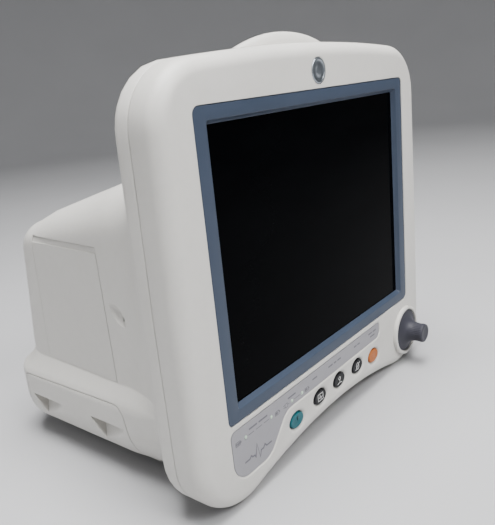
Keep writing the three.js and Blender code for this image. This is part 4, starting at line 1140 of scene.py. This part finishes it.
def rear_connectors():
    face = REAR_FLOOR + 2.7
    x0, x1, z0, z1 = REAR_PANEL
    holes = [
        block(-58.6, -25.4, 180, 230, -59.6, -32.4),
        *[block(x - 8.6, x + 8.6, 180, 230, -41.9, -26.1) for x in (14, 38)],
        rod("y", 6.6, 180, 230, (14, 0, -60)), rod("y", 2.8, 180, 230, (-8, 0, -60)),
    ]
    outline = rectangle(x0 + GAP, x1 - GAP, z0 + GAP, z1 - GAP, 2.7, 6)
    plate_with_holes("rear_plate", outline, "y", REAR_FLOOR + GAP, face - 0.3, holes, "rear_panel", "panel")

    inlet = prism(rectangle(-58, -26, -59, -33, 1.5, 5), "y", face - 18, face + 1.6)
    combine(inlet, prism(rectangle(-60, -24, -61, -31, 2.5, 6), "y", face, face + 2), operation="UNION")
    mouth = rounded([
        (-56.4, -57.4, 1), (-27.6, -57.4, 1), (-27.6, -39.5, 1), (-32, -34.6, 1), (-52, -34.6, 1),
        (-56.4, -39.5, 1),
    ], 4, 1)
    combine(inlet, prism(mouth, "y", face - 16, face + 6))
    bevelled(inlet, 0.3, 2)
    show(inlet, "mains_inlet", "dark", "case", ["power_inlet"])
    blades = []
    for i, dx in enumerate((-7, 0, 7)):
        z = -42.5 if i == 1 else -48.5
        blade = prism(rectangle(-42 + dx - 1, -42 + dx + 1, z - 2, z + 2, 0.5, 3), "y", face - 17, face - 4)
        blades.append(blade)
    show(bevelled(merged(*blades), 0.25, 1), "mains_blades", "steel", "case")

    for name, x in (("network_port", 14), ("serial_port", 38)):
        low = face - 15
        jack = prism(rectangle(x - 8.2, x + 8.2, -41.5, -26.5, 0.8, 4), "y", low, face + 0.8)
        corners = ((-5.9, -39.9), (5.9, -39.9), (5.9, -31.6), (3.2, -31.6),
                   (3.2, -29.6), (-3.2, -29.6), (-3.2, -31.6), (-5.9, -31.6))
        mouth = rounded([(x + dx, z, 0.3) for dx, z in corners], 3, 1)
        combine(jack, prism(mouth, "y", low + 2, face + 5))
        bevelled(jack, 0.2, 2)
        show(jack, name + "_shell", "steel", "case", [name])
        wires = [block(x - 3.7 + 1.05 * k, x - 3.35 + 1.05 * k, low + 2.2, low + 9, -39.2, -38.5)
                 for k in range(8)]
        show(merged(*wires), name + "_wires", "gold", "case")

    sync = [(4.6, face - 8), (0, face - 8), (0, face - 10), (6.2, face - 10), (6.2, face), (8, face),
            (8, face + 1.9), (7.6, face + 2.4), (5.1, face + 2.4), (4.6, face + 1.9)]
    show(turned("sync", sync[2:] + sync[:2], "y", (14, 0, -60), 64), "sync_socket", "dark", "case",
         ["sync_port"], 40)
    post = [(0, face - 6), (2.4, face - 6), (2.4, face), (5, face), (5, face + 1.6), (4.6, face + 2),
            (3, face + 2.6), (3, face + 10.2), (2.4, face + 11), (0, face + 11)]
    show(turned("post", post, "y", (-8, 0, -60), 48), "earth_post", "brass", "case",
         ["equipotential_post"], 40)
    marks = []
    for a, b, z in ((-50, -34, -27.6), (9, 19, -22.6), (33, 43, -22.6), (10, 18, -70.4), (-12, -4, -70.4)):
        marks.append(prism(rectangle(a, b, z - 0.6, z + 0.6, 0.4, 3), "y", face - 0.32, face - 0.24))
    show(merged(*marks), "rear_marks", "mark", "case")


# ---------------------------------------------------------------- fasteners, feet and carried nodes


def screw(name, x, z, seat, node):
    rows = [(0, seat - 10), (1.4, seat - 10), (1.4, seat + 0.3), (3.4, seat + 0.3), (3.4, seat + 1.2)]
    rows += [(3.4 * math.cos(a) ** 0.8, seat + 1.2 + 1.4 * math.sin(a)) for a in np.linspace(0.15, 1.5, 8)]
    rows += [(0, seat + 2.6)]
    body = turned(name, rows, "y", (x, 0, z), 40)
    combine(body, block(x - 2.0, x + 2.0, seat + 1.5, seat + 5, z - 0.45, z + 0.45),
            block(x - 0.45, x + 0.45, seat + 1.5, seat + 5, z - 2.0, z + 2.0))
    show(body, name, "steel", "case", [node], 40)


def feet_and_screws():
    for i, (x, z) in enumerate(HEAD_SCREWS):
        screw(f"head_fixing_{i + 1}", x, z, 31.8, f"head_screw_{i + 1}")
    for i, (x, z) in enumerate(REAR_SCREWS):
        screw(f"case_fixing_{i + 1}", x, z, rear_depth_at(x, z) - 7, f"case_screw_{i + 1}")
    for i, (x, y) in enumerate(((-88, 74), (88, 74), (-88, 182), (88, 182))):
        floor = -147.5
        rows = [(0, floor), (6.9, floor), (7.5, floor + 0.25), (7.9, floor + 0.8), (8, floor + 1.4),
                (8, -141.8), (2.4, -141.8), (2.4, -138.5), (0, -138.5)]
        pad = turned("pad", rows, "z", (x, y, 0), 64)
        show(pad, f"foot_pad_{i + 1}", "rubber", "case", [f"foot_{i + 1}"], 40)


def carried_nodes():
    for name, obj in frame["nodes"].items():
        obj.data.materials.clear()
        obj.data.materials.append(MATERIALS[NODE_SLOT[name]])


# ---------------------------------------------------------------- stage, lights and camera


def stage():
    rows = [(0.001, 0.0), (2.2, 0.0)]
    rows += [(2.2 + 1.1 * math.sin(a), 1.1 - 1.1 * math.cos(a)) for a in np.linspace(0.1, 1.57, 12)]
    rows += [(3.3, 3.2)]
    segments = 96
    angle = 2 * math.pi * np.arange(segments) / segments
    cos, sin = np.cos(angle), np.sin(angle)
    vertices = []
    for radius, height in rows:
        vertices.append(np.stack([radius * cos, radius * sin, np.full(segments, height)], 1))
    faces = []
    for r in range(len(rows) - 1):
        for i in range(segments):
            j = (i + 1) % segments
            faces.append((r * segments + i, r * segments + j, (r + 1) * segments + j, (r + 1) * segments + i))
    mesh = bpy.data.meshes.new("floor")
    mesh.from_pydata([tuple(v) for v in np.vstack(vertices)], [], faces)
    mesh.polygons.foreach_set("use_smooth", [True] * len(mesh.polygons))
    floor = bpy.data.objects.new("floor", mesh)
    bpy.context.scene.collection.objects.link(floor)
    n = Nodes("floor_paper")
    n.link(n.ramp(n.noise(3.0, 3), [(0.3, (0.43, 0.43, 0.44)), (0.7, (0.45, 0.45, 0.46))]),
           n.shader.inputs["Base Color"])
    n.link(n.levels(n.noise(900.0, 2), 0.2, 0.8, 0.75, 0.9), n.shader.inputs["Roughness"])
    mesh.materials.append(n.material)


def area_light(name, position, target, size, power, colour=(1.0, 1.0, 1.0)):
    data = bpy.data.lights.new(name, "AREA")
    data.shape = "RECTANGLE"
    data.size, data.size_y = size
    data.energy = power
    data.color = colour
    obj = bpy.data.objects.new(name, data)
    bpy.context.scene.collection.objects.link(obj)
    obj.location = position
    heading = Vector(target) - Vector(position)
    obj.rotation_euler = heading.to_track_quat("-Z", "Y").to_euler()


def lights():
    world = bpy.data.worlds.new("studio")
    bpy.context.scene.world = world
    world.use_nodes = True
    background = world.node_tree.nodes["Background"]
    background.inputs["Color"].default_value = (0.9, 0.95, 1.0, 1.0)
    background.inputs["Strength"].default_value = 0.12
    area_light("overhead", (-0.1, -0.15, 1.6), (0, 0.0, 0.1), (0.9, 0.9), 62)
    area_light("front_top", (-0.1, -0.65, 0.75), (0, -0.12, 0.24), (0.45, 0.25), 6.5)
    area_light("front_fill", (0.5, -1.9, 1.0), (0, 0, 0.14), (1.2, 1.0), 3)
    area_light("left_fill", (-1.9, 0.3, 0.9), (0, 0, 0.12), (1.2, 1.0), 6)


AZIMUTH, ELEVATION, ROLL = (math.radians(v) for v in (-50.147, 16.562, -5.743))


def camera():
    sin_a, cos_a = math.sin(AZIMUTH), math.cos(AZIMUTH)
    sin_e, cos_e = math.sin(ELEVATION), math.cos(ELEVATION)
    back = Vector((sin_a * cos_e, -cos_a * cos_e, sin_e))
    level = Vector((cos_a, sin_a, 0.0))
    upright = back.cross(level)
    right = level * math.cos(ROLL) + upright * math.sin(ROLL)
    up = upright * math.cos(ROLL) - level * math.sin(ROLL)
    data = bpy.data.cameras.new("camera")
    data.sensor_fit = "AUTO"
    data.sensor_width = 36.0
    data.lens = 42.48
    data.clip_start = 0.02
    obj = bpy.data.objects.new("camera", data)
    bpy.context.scene.collection.objects.link(obj)
    matrix = Matrix((right, up, back)).transposed().to_4x4()
    matrix.translation = Vector((-0.34687, -0.31938, 0.24915))
    obj.matrix_world = matrix
    bpy.context.scene.camera = obj


carried_nodes()
front_shell()
rear_shell()
handle()
side_cover()
battery_flap()
display_frame()
label()
keys()
face_details()
knob()
side_connectors()
rear_connectors()
feet_and_screws()
stage()
lights()
camera()
